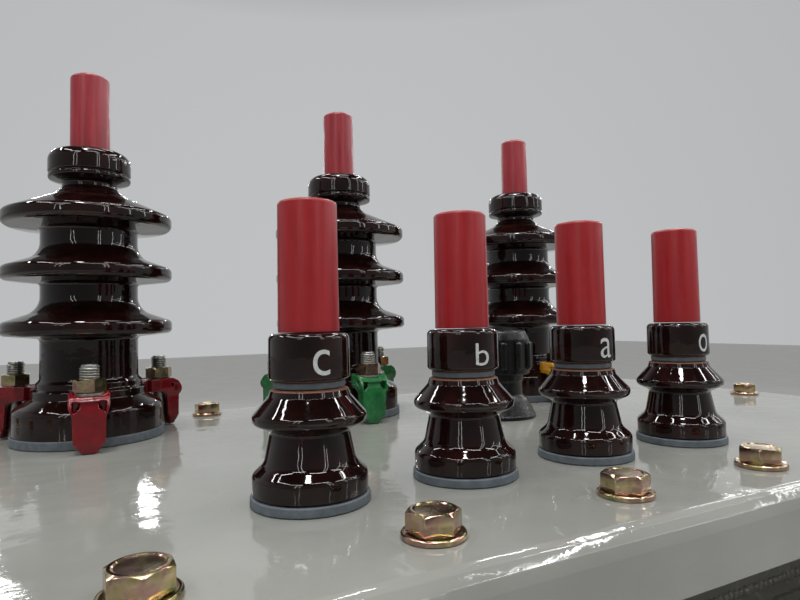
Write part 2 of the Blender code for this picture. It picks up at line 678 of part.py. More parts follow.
def clamp_mesh():
    """A cast claw: its side, front and plan outlines meet in one solid, with two pockets in its face."""
    inner = HV_FLANGE_RADIUS + CLAMP_SIDE_CLEARANCE
    nose_foot = ledge_height(CLAMP_NOSE_RADIUS) + SEAT_GAP
    side = [
        (CLAMP_FOOT_OUTER, 0),
        (CLAMP_OUTER_RADIUS, CLAMP_FOOT_LEVEL),
        (CLAMP_OUTER_RADIUS, CLAMP_TOP - CLAMP_CROWN_DROP),
        (CLAMP_CROWN_RADIUS, CLAMP_TOP),
        (CLAMP_BROW_RADIUS, CLAMP_TOP),
        (CLAMP_NOSE_RADIUS, nose_foot + CLAMP_NOSE_HEIGHT),
        (CLAMP_NOSE_RADIUS, nose_foot),
        (inner, ledge_height(inner) + SEAT_GAP, CLAMP_INNER_FILLET),
        (inner, CLAMP_KNEE_LEVEL),
        (CLAMP_FOOT_INNER, 0),
    ]
    plan = [
        (CLAMP_NOSE_RADIUS - CUT_OVERRUN, CLAMP_NOSE_WIDTH / 2),
        (CLAMP_BROW_RADIUS, CLAMP_NOSE_WIDTH / 2),
        (inner, CLAMP_WIDTH / 2),
        (CLAMP_OUTER_RADIUS - CLAMP_CORNER_CUT, CLAMP_WIDTH / 2),
        (CLAMP_OUTER_RADIUS, CLAMP_WIDTH / 2 - CLAMP_CORNER_CUT),
    ]
    front = [
        (CLAMP_FOOT_WIDTH / 2, 0),
        (CLAMP_LOW_WIDTH / 2, CLAMP_CHAMFER_LEVEL),
        (CLAMP_MIDDLE_WIDTH / 2, CLAMP_WAIST_LEVEL),
        (CLAMP_WIDTH / 2, CLAMP_SHOULDER_LEVEL),
        (CLAMP_WIDTH / 2, CLAMP_TOP + CUT_OVERRUN),
    ]

    def both_sides(half, flip):
        if flip:
            return half + [(x, -y) for x, y in reversed(half)]
        return half + [(-x, y) for x, y in reversed(half)]

    wide = CLAMP_WIDTH
    upright = Matrix.Rotation(math.pi / 2, 4, "X")
    facing = Matrix.Rotation(math.pi / 2, 4, "Z") @ upright
    body = add_cutter("clamp_side", outline_mesh("clamp_side", [rounded(side)], -wide, wide, upright))
    plan_mesh = outline_mesh("clamp_plan", [both_sides(plan, True)], -CUT_OVERRUN, CLAMP_TOP + CUT_OVERRUN,
                             Matrix.Identity(4))
    front_mesh = outline_mesh("clamp_front", [both_sides(front, False)], 0,
                              CLAMP_OUTER_RADIUS + CUT_OVERRUN, facing)
    combine(body, add_cutter("clamp_plan", plan_mesh), "INTERSECT")
    combine(body, add_cutter("clamp_front", front_mesh), "INTERSECT")
    pocket_top = CLAMP_TOP - CLAMP_POCKET_TOP_GAP
    pocket = [
        (CLAMP_RIB_WIDTH / 2, pocket_top),
        (CLAMP_WIDTH / 2 - CLAMP_POCKET_WEB, pocket_top),
        (CLAMP_MIDDLE_WIDTH / 2 - CLAMP_POCKET_WEB, pocket_top - CLAMP_POCKET_HEIGHT),
        (CLAMP_RIB_WIDTH / 2, pocket_top - CLAMP_POCKET_HEIGHT),
    ]
    for name, side_sign in (("near", 1), ("far", -1)):
        outline = [(side_sign * across, up) for across, up in pocket]
        mesh = outline_mesh(f"clamp_pocket_{name}", [outline], CLAMP_OUTER_RADIUS - CLAMP_POCKET_DEPTH,
                            CLAMP_OUTER_RADIUS + CUT_OVERRUN, facing)
        combine(body, add_cutter(mesh.name, mesh), "DIFFERENCE")
    mesh = settle(body)
    bpy.data.objects.remove(body, do_unlink=True)
    return mesh


def hv_bushings():
    """Three high-voltage bushings, each held down by three claws in its phase colour."""
    gasket = turned_mesh("hv_gasket", disc_corners(HV_GASKET_RADIUS, HV_GASKET_HEIGHT, 0), HV_STEPS)
    insulator = turned_mesh("hv_insulator", hv_insulator_corners(), HV_STEPS)
    sleeve_corners = cap_corners(HV_CAP_RADIUS, HV_CAP_TOP_RADIUS, HV_CAP_HEIGHT, HV_CAP_EDGE, HV_CAP_DOME)
    sleeve = turned_mesh("hv_sleeve", sleeve_corners, HV_STEPS)
    claw = clamp_mesh()
    colours = ("red_paint", "green_paint", "yellow_paint")
    for side, x, colour in zip(HV_NAMES, hv_places(), colours):
        stack(x, HV_ROW_OFFSET, (
            (f"hv_{side}_gasket", gasket, HV_GASKET_HEIGHT, "grey_rubber"),
            (f"hv_{side}_insulator", insulator, HV_INSULATOR_HEIGHT, "dark_glaze"),
            (f"hv_{side}_cap", sleeve, HV_CAP_HEIGHT, "red_cap"),
        ))
        for number, angle in enumerate(CLAMP_ANGLES, 1):
            piece = add_piece(f"hv_{side}_clamp_{number}", claw, PARTS)
            piece.location = (x, HV_ROW_OFFSET, COVER_SEAT)
            piece.rotation_euler = (0, 0, math.radians(angle))
            paint(piece, colour)


def tap_changer():
    """A conical foot with a neck, and a ribbed cap that is turned by hand."""
    foot_corners = [
        (0, TAP_NECK_HEIGHT),
        (TAP_NECK_RADIUS, TAP_NECK_HEIGHT),
        (TAP_NECK_RADIUS, TAP_BASE_HEIGHT),
        (TAP_BASE_TOP_RADIUS, TAP_BASE_HEIGHT, TAP_BASE_EDGE),
        (TAP_BASE_RADIUS, TAP_BASE_EDGE),
        (TAP_BASE_RADIUS, 0),
        (0, 0),
    ]
    foot = add_piece("tap_changer_base", turned_mesh("tap_changer_base", foot_corners, SMALL_STEPS), PARTS)
    foot.location = (TAP_X, TAP_Y, COVER_SEAT)
    paint(foot, "black_plastic")
    rise = TAP_CAP_HEIGHT - TAP_CAP_SIDE
    cap_outline = dome(TAP_CAP_RADIUS, TAP_CAP_HEIGHT, rise, 3)
    cap_outline += [(TAP_CAP_RADIUS, TAP_CAP_SIDE, TAP_CAP_FILLET), (TAP_CAP_RADIUS, 0), (0, 0)]
    cap = add_piece("tap_changer_cap", turned_mesh("tap_changer_cap", cap_outline, SMALL_STEPS), PARTS)
    half = TAP_RIB_WIDTH / 2
    for index in range(TAP_RIB_COUNT):
        rib = box_mesh(f"tap_rib_{index}", (TAP_RIB_ROOT, -half, TAP_RIB_BOTTOM),
                       (TAP_RIB_REACH, half, TAP_RIB_BOTTOM + TAP_RIB_HEIGHT))
        rib.transform(Matrix.Rotation(2 * math.pi * index / TAP_RIB_COUNT, 4, "Z"))
        combine(cap, add_cutter(rib.name, rib), "UNION")
    settle(cap)
    smooth(cap.data)
    cap.location = (TAP_X, TAP_Y, COVER_SEAT + TAP_NECK_HEIGHT + SEAT_GAP)
    paint(cap, "black_plastic")


clear_scene()
PARTS = make_collection("power_transformer")
GUIDES = make_collection("guide_shapes")
base_channels()
tank_body()
tank_rim()
cover()
corrugated_walls()
lifting_lugs()
drain_plug()
lv_bushings()
hv_bushings()
tap_changer()
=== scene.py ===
# %% [markdown]
# A sealed oil-filled transformer: the looks
#
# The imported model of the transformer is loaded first.  It holds every piece at
# its real size, so each finished piece below takes its place from it.  We add
# what the eye sees close up: turned porcelain, enamel, bolts, threads and welds.

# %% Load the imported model
import json
import math
import random

import bmesh
import bpy
from mathutils import Matrix, Vector


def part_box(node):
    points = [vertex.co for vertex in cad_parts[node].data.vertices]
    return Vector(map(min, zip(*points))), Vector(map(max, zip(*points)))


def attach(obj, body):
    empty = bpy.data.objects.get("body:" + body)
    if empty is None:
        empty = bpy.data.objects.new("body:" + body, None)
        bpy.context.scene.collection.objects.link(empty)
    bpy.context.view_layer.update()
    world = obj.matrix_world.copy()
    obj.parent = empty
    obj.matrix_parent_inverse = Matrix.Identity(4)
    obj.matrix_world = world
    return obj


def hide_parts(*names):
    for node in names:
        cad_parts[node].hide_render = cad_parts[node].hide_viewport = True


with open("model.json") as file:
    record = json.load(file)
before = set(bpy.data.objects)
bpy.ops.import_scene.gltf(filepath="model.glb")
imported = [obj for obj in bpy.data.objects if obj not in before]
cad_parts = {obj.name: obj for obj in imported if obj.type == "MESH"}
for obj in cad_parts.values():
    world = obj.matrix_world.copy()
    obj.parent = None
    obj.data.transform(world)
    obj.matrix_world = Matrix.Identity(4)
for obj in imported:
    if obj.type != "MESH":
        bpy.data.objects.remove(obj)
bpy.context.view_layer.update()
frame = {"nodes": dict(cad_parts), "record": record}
MM = 0.001
COVER_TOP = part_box("cover")[1][2]
print("cover top at", round(COVER_TOP, 4), "m")

# %% [markdown]
# The camera stands where the photograph was taken from: just above the cover,
# in front of its low-voltage side.  A camera in Blender looks along its own -Z,
# so its axes are worked out from three angles and put in a matrix.  The first
# helper adds any new object to the scene, the camera too.

# %% Camera
PHOTO_WIDTH = 800
FOCAL_PIXELS = 587.2
SENSOR_WIDTH = 36
NEAREST_SEEN = 0.01
CAMERA_PLACE = Vector((-0.2532, -0.4457, COVER_TOP + 0.0958))
CAMERA_YAW = 0.4766
CAMERA_PITCH = 0.0370
CAMERA_ROLL = -0.0201


def add_object(name, data):
    """A new object, linked to the scene."""
    made = bpy.data.objects.new(name, data)
    bpy.context.scene.collection.objects.link(made)
    return made


def camera_axes(yaw, pitch, roll):
    """Right, up and forward directions of a camera that looks along +Y before it is turned."""
    forward = Vector((math.sin(yaw) * math.cos(pitch), math.cos(yaw) * math.cos(pitch), math.sin(pitch)))
    level = Vector((math.cos(yaw), -math.sin(yaw), 0))
    above = level.cross(forward)
    right = level * math.cos(roll) + above * math.sin(roll)
    return right, above * math.cos(roll) - level * math.sin(roll), forward


def make_camera():
    """A camera at the photograph's place, with its lens."""
    right, above, forward = camera_axes(CAMERA_YAW, CAMERA_PITCH, CAMERA_ROLL)
    data = bpy.data.cameras.new("camera")
    data.sensor_width = SENSOR_WIDTH
    data.lens = FOCAL_PIXELS / PHOTO_WIDTH * SENSOR_WIDTH
    data.clip_start = NEAREST_SEEN
    camera = add_object("camera", data)
    turn = Matrix((right, above, -forward)).transposed().to_4x4()
    camera.matrix_world = Matrix.Translation(CAMERA_PLACE) @ turn
    bpy.context.scene.camera = camera
    return camera


camera = make_camera()
print("lens", round(camera.data.lens, 2), "mm")

# %% [markdown]
# Colours are written as the hex codes that a paint picker shows.  Blender's
# shaders want linear light, so one function turns the one into the other.  A
# second adds a node to a tree, with its settings, its links and its values.

# %% Colour and node helpers
def colour(code):
    """A hex colour as linear red, green, blue and alpha."""
    parts = [int(code[i:i + 2], 16) / 255 for i in (1, 3, 5)]
    linear = [p / 12.92 if p <= 0.04045 else ((p + 0.055) / 1.055) ** 2.4 for p in parts]
    return (*linear, 1.0)


def node(tree, kind, sockets=None, output=None, stops=(), **settings):
    """Add a node and return an output.  Sockets go by name or number, a ramp's stops by (place, hex)."""
    made = tree.nodes.new(kind)
    for key, value in settings.items():
        setattr(made, key, value)
    for key, value in (sockets or {}).items():
        if isinstance(value, bpy.types.NodeSocket):
            tree.links.new(value, made.inputs[key])
        else:
            made.inputs[key].default_value = value
    for index, (place, code) in enumerate(stops):
        elements = made.color_ramp.elements
        element = elements[index] if index < len(elements) else elements.new(place)
        element.position = place
        element.color = colour(code)
    if output is not None:
        return made.outputs[output]
    return next((socket for socket in made.outputs if socket.enabled), None)


print("a middle grey is", round(colour("#808080")[0], 3), "in linear light")

# %% [markdown]
# Every finish here wanders in the same three ways: its colour is cloudy, some
# of it is shinier than the rest, and its surface is never quite flat.  So one
# function builds a material from those three patterns, each with the real size
# of its blobs in millimetres.  Stretching a pattern in one direction turns
# blobs into streaks and runs, and cutting off all but its peaks leaves specks.

# %% Patterns
MATERIALS = {}
EVEN = (1.0, 1.0, 1.0)
UPRIGHT = (1.0, 1.0, 0.08)
TINT_DETAIL = 5.0
RELIEF_DETAIL = 2.0
WEAR_LOW, WEAR_HIGH = 0.3, 0.7
WHOLE_WAVE = (0.2, 0.8)


def blobs(tree, size_mm, along=EVEN, detail=3.0):
    """Cloudy noise in the piece's own space, with blobs of about size_mm."""
    place = node(tree, "ShaderNodeTexCoord", output="Object")
    spread = [way / (size_mm * MM) for way in along]
    moved = node(tree, "ShaderNodeMapping", {"Vector": place, "Scale": spread})
    return node(tree, "ShaderNodeTexNoise", {"Vector": moved, "Scale": 1.0, "Detail": detail})


def finish(name, tint, rough, relief, slot=None, **shader_values):
    """A slot's material, from tint (size, along, stops), rough (size, low, high) and relief: layers
    of (size, along, depth), each of which may go on with the part of the noise that it uses."""
    material = bpy.data.materials.new(name)
    material.use_nodes = True
    tree = material.node_tree
    shader = tree.nodes["Principled BSDF"]
    for key, value in shader_values.items():
        shader.inputs[key].default_value = value
    size, along, stops = tint
    cloudy = blobs(tree, size, along, TINT_DETAIL)
    ramp = node(tree, "ShaderNodeValToRGB", {"Fac": cloudy}, stops=stops)
    tree.links.new(ramp, shader.inputs["Base Color"])
    size, low, high = rough
    worn = node(tree, "ShaderNodeMapRange", {
        0: blobs(tree, size), 1: WEAR_LOW, 2: WEAR_HIGH, 3: low, 4: high})
    tree.links.new(worn, shader.inputs["Roughness"])
    normal = None
    for size, along, depth_mm, *span in relief:
        start, end = span or WHOLE_WAVE
        wave = blobs(tree, size, along, RELIEF_DETAIL)
        height = node(tree, "ShaderNodeMapRange", {0: wave, 1: start, 2: end})
        layer = {"Height": height, "Distance": depth_mm * MM, "Strength": 1.0}
        if normal:
            layer["Normal"] = normal
        normal = node(tree, "ShaderNodeBump", layer)
    tree.links.new(normal, shader.inputs["Normal"])
    MATERIALS[slot or name] = material
    return material


print("a layer of relief uses the noise from", *WHOLE_WAVE)

# %% [markdown]
# Steel: the cover and the tank are sprayed with glossy grey enamel.  Thick wet
# enamel on plate flows into long soft waves, with a finer orange peel on them,
# and grit that settles while it is wet stays in it as specks.  The tank gets
# fewer coats, so it is a little warmer and duller, with runs down its fins.

# %% Enamel on steel
finish("grey_enamel", (110, EVEN, ((0.30, "#888983"), (0.52, "#90918b"), (0.74, "#989992"))),
       (6, 0.04, 0.09),
       ((52, EVEN, 0.50), (13, EVEN, 0.09), (4, EVEN, 0.04), (2.2, EVEN, 0.10, 0.72, 0.80)),
       "cover_paint", IOR=1.53)
finish("warm_grey_enamel", (140, EVEN, ((0.30, "#716f67"), (0.52, "#7a7971"), (0.74, "#85847b"))),
       (40, 0.20, 0.32), ((40, UPRIGHT, 0.10), (6, EVEN, 0.02)), "tank_paint", IOR=1.5)
print(len(MATERIALS), "kinds of enamel on steel")

# %% [markdown]
# Each phase has its own colour of clamp.  They are rough castings under thick
# gloss enamel, which rounds every edge and pools in the corners.

# %% Enamel on the castings
CAST_RELIEF = ((7, EVEN, 0.16), (1.8, EVEN, 0.03))
for slot, stops in (
    ("red_enamel", ((0.30, "#6e0d17"), (0.55, "#790f1a"), (0.75, "#84131e"))),
    ("green_enamel", ((0.30, "#1c5a30"), (0.55, "#256d3c"), (0.75, "#318049"))),
    ("yellow_enamel", ((0.30, "#c08312"), (0.55, "#d2951c"), (0.75, "#dfa42a"))),
):
    finish(slot, (9, EVEN, stops), (10, 0.08, 0.17), CAST_RELIEF, IOR=1.54)
print(len(MATERIALS), "finishes so far")

# %% [markdown]
# Electrical porcelain is dipped in a brown glaze that fires almost black.  It
# is glass: very smooth, so it mirrors the lamps, and a little uneven where it
# flowed, with a few pinholes.  Where the glaze is wiped off, on the faces that
# meet a gasket, the fired clay shows as terracotta.

# %% Glaze and bare clay
finish("brown_glaze", (16, EVEN, ((0.30, "#100504"), (0.55, "#1c0a08"), (0.80, "#2d110e"))),
       (9, 0.03, 0.07), ((11, EVEN, 0.10), (1.6, EVEN, 0.05, 0.74, 0.82)), IOR=1.5)
finish("bare_clay", (1.2, EVEN, ((0.30, "#6b4737"), (0.55, "#855a45"), (0.80, "#9c705a"))),
       (2, 0.65, 0.85), ((0.9, EVEN, 0.12),), IOR=1.5)
print(len(MATERIALS), "finishes so far")

# %% [markdown]
# The gaskets are oil-proof rubber, cut or moulded, with a dull blue-grey skin.
# The caps are soft dipped vinyl: the mould leaves faint streaks up their sides.
# The tap changer is moulded in black plastic with a fine satin grain.

# %% Rubber, vinyl and plastic
finish("gasket_rubber", (6, EVEN, ((0.30, "#50585e"), (0.55, "#5d656b"), (0.80, "#6b7379"))),
       (5, 0.42, 0.62), ((1.0, EVEN, 0.05),), IOR=1.52)
for slot, name, stops in (
    ("red_sleeve", "red_vinyl", ((0.30, "#91131a"), (0.50, "#9a161d"), (0.72, "#a31b22"))),
    ("pale_sleeve", "faded_red_vinyl", ((0.30, "#8c232c"), (0.50, "#9c2b34"), (0.72, "#aa3a41"))),
):
    finish(name, (4, UPRIGHT, stops), (7, 0.30, 0.42), ((4, UPRIGHT, 0.10), (1.1, EVEN, 0.03)),
           slot, IOR=1.53)
finish("black_plastic", (6, EVEN, ((0.30, "#070808"), (0.70, "#0e100f"))), (6, 0.24, 0.36),
       ((0.8, EVEN, 0.03),), IOR=1.45)
print(len(MATERIALS), "finishes so far")

# %% [markdown]
# Bolts and nuts are zinc plated and passivated.  That film is so thin that it
# shows colours like oil on water: gold, with patches of pink and green.  The
# studs and the small washers are plain grey zinc, which a metal's base colour
# gives.  The terminal letters are painted by hand in pale grey.

# %% Zinc and marking paint
ZINC_FILM = ((0.28, "#7f8d70"), (0.38, "#b3a174"), (0.48, "#c2b08c"), (0.56, "#b58f86"), (0.66, "#af9c70"),
             (0.76, "#87937c"))
finish("gold_zinc", (9, EVEN, ZINC_FILM), (4, 0.14, 0.26),
       ((5, EVEN, 0.03), (1.2, EVEN, 0.004)), Metallic=1.0)
finish("grey_zinc", (3, EVEN, ((0.3, "#8f908b"), (0.7, "#b9b9b3"))), (2, 0.30, 0.45),
       ((0.9, EVEN, 0.03),), Metallic=1.0)
finish("marking_paint", (2, EVEN, ((0.3, "#b4b7b6"), (0.7, "#cfd2d1"))), (2, 0.45, 0.65),
       ((1.0, EVEN, 0.02),), IOR=1.5)
print(len(MATERIALS), "materials")

# %% [markdown]
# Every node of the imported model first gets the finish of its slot.  Those that
# we replace later keep it too, and the rest are shown with it.

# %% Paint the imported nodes
SLOT_OF = {part["node"]: part["material_slot"] for part in frame["record"]["subparts"]}
for name, solid in frame["nodes"].items():
    solid.data.materials.clear()
    solid.data.materials.append(MATERIALS[SLOT_OF[name]])
print(len(frame["nodes"]), "packed nodes painted")

# %% [markdown]
# Most of what stands on the cover is turned, so one helper spins an outline
# about an upright axis.  Outlines are corners of (radius, height) in
# millimetres, from the top down; a third number rounds that corner with an arc.

# %% Outlines and turning
ARC_STEP = math.radians(9)
ARC_SHARE = 0.49
MERGE_DISTANCE = 0.001 * MM
ON_AXIS = 0.01 * MM


def rounded(corners):
    """Points along the corners, in metres, with an arc wherever a corner has a radius."""
    points = []
    for index, corner in enumerate(corners):
        here = Vector(corner[:2]) * MM
        if len(corner) < 3:
            points.append(here)
            continue
        before = Vector(corners[index - 1][:2]) * MM - here
        after = Vector(corners[(index + 1) % len(corners)][:2]) * MM - here
        half = before.angle(after) / 2
        shorter = min(before.length * ARC_SHARE, after.length * ARC_SHARE)
        reach = min(corner[2] * MM / math.tan(half), shorter)
        start = here + before.normalized() * reach
        end = here + after.normalized() * reach
        radius = reach * math.tan(half)
        centre = here + (before.normalized() + after.normalized()).normalized() * reach / math.cos(half)
        steps = max(2, round((math.pi - 2 * half) / ARC_STEP))
        for step in range(steps + 1):
            spoke = start.lerp(end, step / steps) - centre
            points.append(centre + spoke.normalized() * radius)
    return points


def finished_mesh(name, shape, sharp=40):
    """Close the work on a bmesh: doubles merged, faces outwards, smooth up to a sharp angle."""
    bmesh.ops.remove_doubles(shape, verts=shape.verts, dist=MERGE_DISTANCE)
    bmesh.ops.recalc_face_normals(shape, faces=shape.faces)
    for face in shape.faces:
        face.smooth = True
    mesh = bpy.data.meshes.new(name)
    shape.to_mesh(mesh)
    shape.free()
    mesh.set_sharp_from_angle(angle=math.radians(sharp))
    return mesh


def join_rings(shape, rings, material_of=None):
    """Faces all the way round between each ring of vertices and the next."""
    for upper, lower in zip(rings, rings[1:]):
        for step, vert in enumerate(upper):
            after = (step + 1) % len(upper)
            corners = list(dict.fromkeys([vert, lower[step], lower[after], upper[after]]))
            if len(corners) > 2:
                face = shape.faces.new(corners)
                face.material_index = material_of(upper, lower) if material_of else 0


def skin_rings(name, shape, rings, sharp=40):
    """A closed mesh through rings of vertices, with a flat face at both ends."""
    join_rings(shape, rings)
    for ring in (rings[0], rings[-1]):
        shape.faces.new(ring)
    return finished_mesh(name, shape, sharp)


def turn_mesh(name, points, steps, bands=()):
    """Spin points of (radius, height); a band (number, low, high) in mm gets that material."""
    shape = bmesh.new()
    rings = []
    for radius, height in points:
        if radius < ON_AXIS:
            rings.append([shape.verts.new((0, 0, height))] * steps)
            continue
        angles = [2 * math.pi * step / steps for step in range(steps)]
        rings.append([shape.verts.new((radius * math.cos(a), radius * math.sin(a), height)) for a in angles])

    def material_of(upper, lower):
        middle = (upper[0].co.z + lower[0].co.z) / 2
        return next((number for number, low, high in bands if low * MM <= middle <= high * MM), 0)

    join_rings(shape, rings, material_of)
    return finished_mesh(name, shape)


print("a quarter turn takes", round(math.radians(90) / ARC_STEP), "short edges")

# %% [markdown]
# A finished piece stays at the origin, with its place in its mesh, as the
# imported nodes do.  It rides on the transformer's one body, and may stand for
# imported nodes, which are then hidden.

# %% Placing pieces
def plain_mesh_of(holder):
    """What an object's modifiers or its text make of it, as a plain mesh; the object is taken away."""
    settled = holder.evaluated_get(bpy.context.evaluated_depsgraph_get())
    mesh = bpy.data.meshes.new_from_object(settled)
    bpy.data.objects.remove(holder, do_unlink=True)
    return mesh


def place_piece(name, mesh, slot, materials, *nodes):
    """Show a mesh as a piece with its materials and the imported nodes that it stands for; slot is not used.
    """
    piece = add_object(name, mesh)
    for material in materials:
        mesh.materials.append(MATERIALS[material])
    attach(piece, "root")
    if nodes:
        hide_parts(*nodes)
    return piece


def foot_of(name):
    """Middle of a node's underside."""
    low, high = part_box(name)
    return Vector(((low[0] + high[0]) / 2, (low[1] + high[1]) / 2, low[2]))


def stand_turned(node_name, outline, steps, materials, bands=()):
    """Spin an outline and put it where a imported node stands."""
    mesh = turn_mesh("fine_" + node_name, rounded(outline), steps, bands)
    mesh.transform(Matrix.Translation(foot_of(node_name)))
    return place_piece("fine_" + node_name, mesh, SLOT_OF[node_name], materials, node_name)


print("left high-voltage gasket stands at", [round(v, 3) for v in foot_of("hv_left_gasket")])

# %% [markdown]
# A low-voltage bushing is a stack: a gasket, a lower porcelain with one shed,
# a thin gasket, an upper porcelain and a red cap over the terminal.  The four
# are alike, so each outline is spun once for each of them.

# %% Low-voltage bushings
LV_STEPS = 96
LV_LETTERS = ("c", "b", "a", "o")
LV_GASKET = [(0, 5.0), (32.2, 5.0, 0.9), (32.5, 0, 0.7), (0, 0)]
LV_LOWER = [(0, 55.4), (19.6, 55.4), (21.2, 54.8, 0.6), (22.2, 51.6, 1.2), (31.2, 41.4, 3.4),
            (30.6, 37.4, 3.0), (21.6, 33.0, 2.4), (25.1, 16.0, 8.0), (31.3, 10.4, 4.0),
            (31.1, 0.8, 0.6), (30.2, 0), (0, 0)]
LV_NECK = [(0, 4.0), (19.5, 4.0, 1.2), (19.5, 0, 1.2), (0, 0)]
LV_COLLAR = [(0, 25.1), (22.0, 25.1, 3.4), (22.2, 1.0, 2.2), (20.4, 0), (0, 0)]
LV_CAP = [(0, 72.7), (11.0, 72.3, 6.0), (16.3, 71.4, 2.2), (16.7, 0.2, 0.4), (0, 0)]
LV_STACK = (
    ("base_gasket", LV_GASKET, ("gasket_rubber",), ()),
    ("lower_insulator", LV_LOWER, ("brown_glaze", "bare_clay"), ((1, 54.1, 55.6),)),
    ("neck_gasket", LV_NECK, ("gasket_rubber",), ()),
    ("upper_insulator", LV_COLLAR, ("brown_glaze", "bare_clay"), ((1, -0.1, 0.5),)),
    ("cap", LV_CAP, ("red_sleeve",), ()),
)

for letter in LV_LETTERS:
    for part, outline, materials, bands in LV_STACK:
        stand_turned(f"lv_{letter}_{part}", outline, LV_STEPS, materials, bands)
print(len(LV_LETTERS) * len(LV_STACK), "low-voltage pieces")

# %% [markdown]
# Each upper porcelain carries its terminal's letter.  A text object gives a
# flat letter, which we slice into narrow strips and then wrap onto the round
# porcelain, so that it stays a hair's breadth above the glaze all along.

# %% Terminal letters
LETTER_HEIGHT = 13.2
LETTER_WIDTH = 9.2
LETTER_LEVEL = 3.4
LETTER_PROUD = 0.10
LETTER_SLICE = 0.5
LETTER_BOLD = -0.05
LETTER_TURN = {"c": -1.5, "b": -1.0, "a": 0.0, "o": 0.0}
COLLAR_RADIUS = 22.15


def flat_letter(letter):
    """A letter as a flat mesh, stretched to size, its middle on x = 0 and its foot on y = 0."""
    text = bpy.data.curves.new("letter", "FONT")
    text.body = letter
    text.size = LETTER_HEIGHT * MM
    text.offset = LETTER_BOLD * MM
    mesh = plain_mesh_of(add_object("letter", text))
    low = Vector([min(vert.co[axis] for vert in mesh.vertices) for axis in range(3)])
    high = Vector([max(vert.co[axis] for vert in mesh.vertices) for axis in range(3)])
    wider = LETTER_WIDTH * MM / (high.x - low.x)
    taller = LETTER_HEIGHT * MM / (high.y - low.y)
    stretch = Matrix.Diagonal((wider, taller, 1, 1))
    mesh.transform(stretch @ Matrix.Translation((-(low.x + high.x) / 2, -low.y, 0)))
    return mesh


def wrapped_letter(letter, radius):
    """The letter, sliced across its width and bent round a cylinder whose front faces -Y."""
    shape = bmesh.new()
    shape.from_mesh(flat_letter(letter))
    slices = int(LETTER_WIDTH / 2 / LETTER_SLICE)
    for index in range(-slices, slices + 1):
        geometry = shape.verts[:] + shape.edges[:] + shape.faces[:]
        place = (index * LETTER_SLICE * MM, 0, 0)
        bmesh.ops.bisect_plane(shape, geom=geometry, plane_co=place, plane_no=(1, 0, 0))
    for vert in shape.verts:
        angle = vert.co.x / radius
        vert.co = Vector((radius * math.sin(angle), -radius * math.cos(angle), vert.co.y))
    return finished_mesh("letter_" + letter, shape)


for letter in LV_LETTERS:
    mesh = wrapped_letter(letter, COLLAR_RADIUS * MM + LETTER_PROUD * MM)
    spin = Matrix.Rotation(math.radians(LETTER_TURN[letter]), 4, "Z")
    foot = foot_of(f"lv_{letter}_upper_insulator") + Vector((0, 0, LETTER_LEVEL * MM))
    mesh.transform(Matrix.Translation(foot) @ spin)
    place_piece("letter_" + letter, mesh, "brown_glaze", ("marking_paint",))
print(len(LV_LETTERS), "letters")

# %% [markdown]
# A high-voltage bushing needs a longer path over its surface, so its porcelain
# has three wide sheds on a trunk.  Each grows out of a root, which flares from
# the neck or from the trunk.  Its head has a groove, and its foot a flange with
# a sloping ledge that the clamps press on.

# %% High-voltage bushings
HV_STEPS = 112
HV_SHED_TIPS = (184.0, 137.1, 90.1)
HV_NAMES = ("left", "middle", "right")
HV_GASKET = [(0, 5.0), (58.9, 5.0), (58.9, 7.2), (60.2, 7.0, 0.8), (60.5, 0, 0.8), (0, 0)]
HV_HEAD = [(0, 245.8), (33.1, 245.8, 13.0), (33.1, 226.4, 1.8), (31.6, 225.0, 0.6),
           (32.9, 223.7, 1.2), (32.9, 220.6, 2.0), (22.2, 217.2, 2.0), (22.4, 212.0, 5.0)]
HV_NECK_ROOT = (30.0, 22.0, 14.0)
HV_TRUNK_ROOT = (38.6, 16.0, 16.0)
HV_SHED = ((67.5, 5.4, 4.8), (67.5, -5.4, 4.8), (38.6, -8.4, 3.0))
HV_FOOT = [(38.8, 47.0, 4.0), (41.6, 44.0, 1.4), (41.8, 39.5, 1.2), (45.0, 37.6, 1.4),
           (45.2, 31.5, 1.6), (58.7, 23.3, 6.5), (58.7, 0.7, 0.6), (58.0, 0), (0, 0)]
HV_CAP = [(0, 70.3), (10.0, 69.5, 8.0), (15.7, 66.5, 2.6), (16.0, 0.2, 0.4), (0, 0)]


def hv_outline():
    """The outline of the tall porcelain; roots and sheds have their heights from a shed's tip."""
    outline = list(HV_HEAD)
    for tip in HV_SHED_TIPS:
        root = HV_NECK_ROOT if tip == HV_SHED_TIPS[0] else HV_TRUNK_ROOT
        outline += [(radius, tip + rise, fillet) for radius, rise, fillet in (root, *HV_SHED)]
    return outline + HV_FOOT


for side in HV_NAMES:
    stand_turned(f"hv_{side}_gasket", HV_GASKET, HV_STEPS, ("gasket_rubber",))
    stand_turned(f"hv_{side}_insulator", hv_outline(), HV_STEPS, ("brown_glaze",))
    stand_turned(f"hv_{side}_cap", HV_CAP, LV_STEPS, ("pale_sleeve",))
print(len(HV_NAMES), "high-voltage bushings")

# %% [markdown]
# Some solids are easiest to carve.  A prism is a flat outline with thickness,
# and a boolean modifier keeps what two solids share, or cuts one from another.
# More modifiers can follow, and then the result is taken as a plain mesh.

# %% Carving
SIDE_ON = Matrix(((1, 0, 0, 0), (0, 0, 1, 0), (0, 1, 0, 0), (0, 0, 0, 1)))
FACE_ON = Matrix(((0, 0, 1, 0), (1, 0, 0, 0), (0, 1, 0, 0), (0, 0, 0, 1)))
FROM_ABOVE = Matrix.Identity(4)


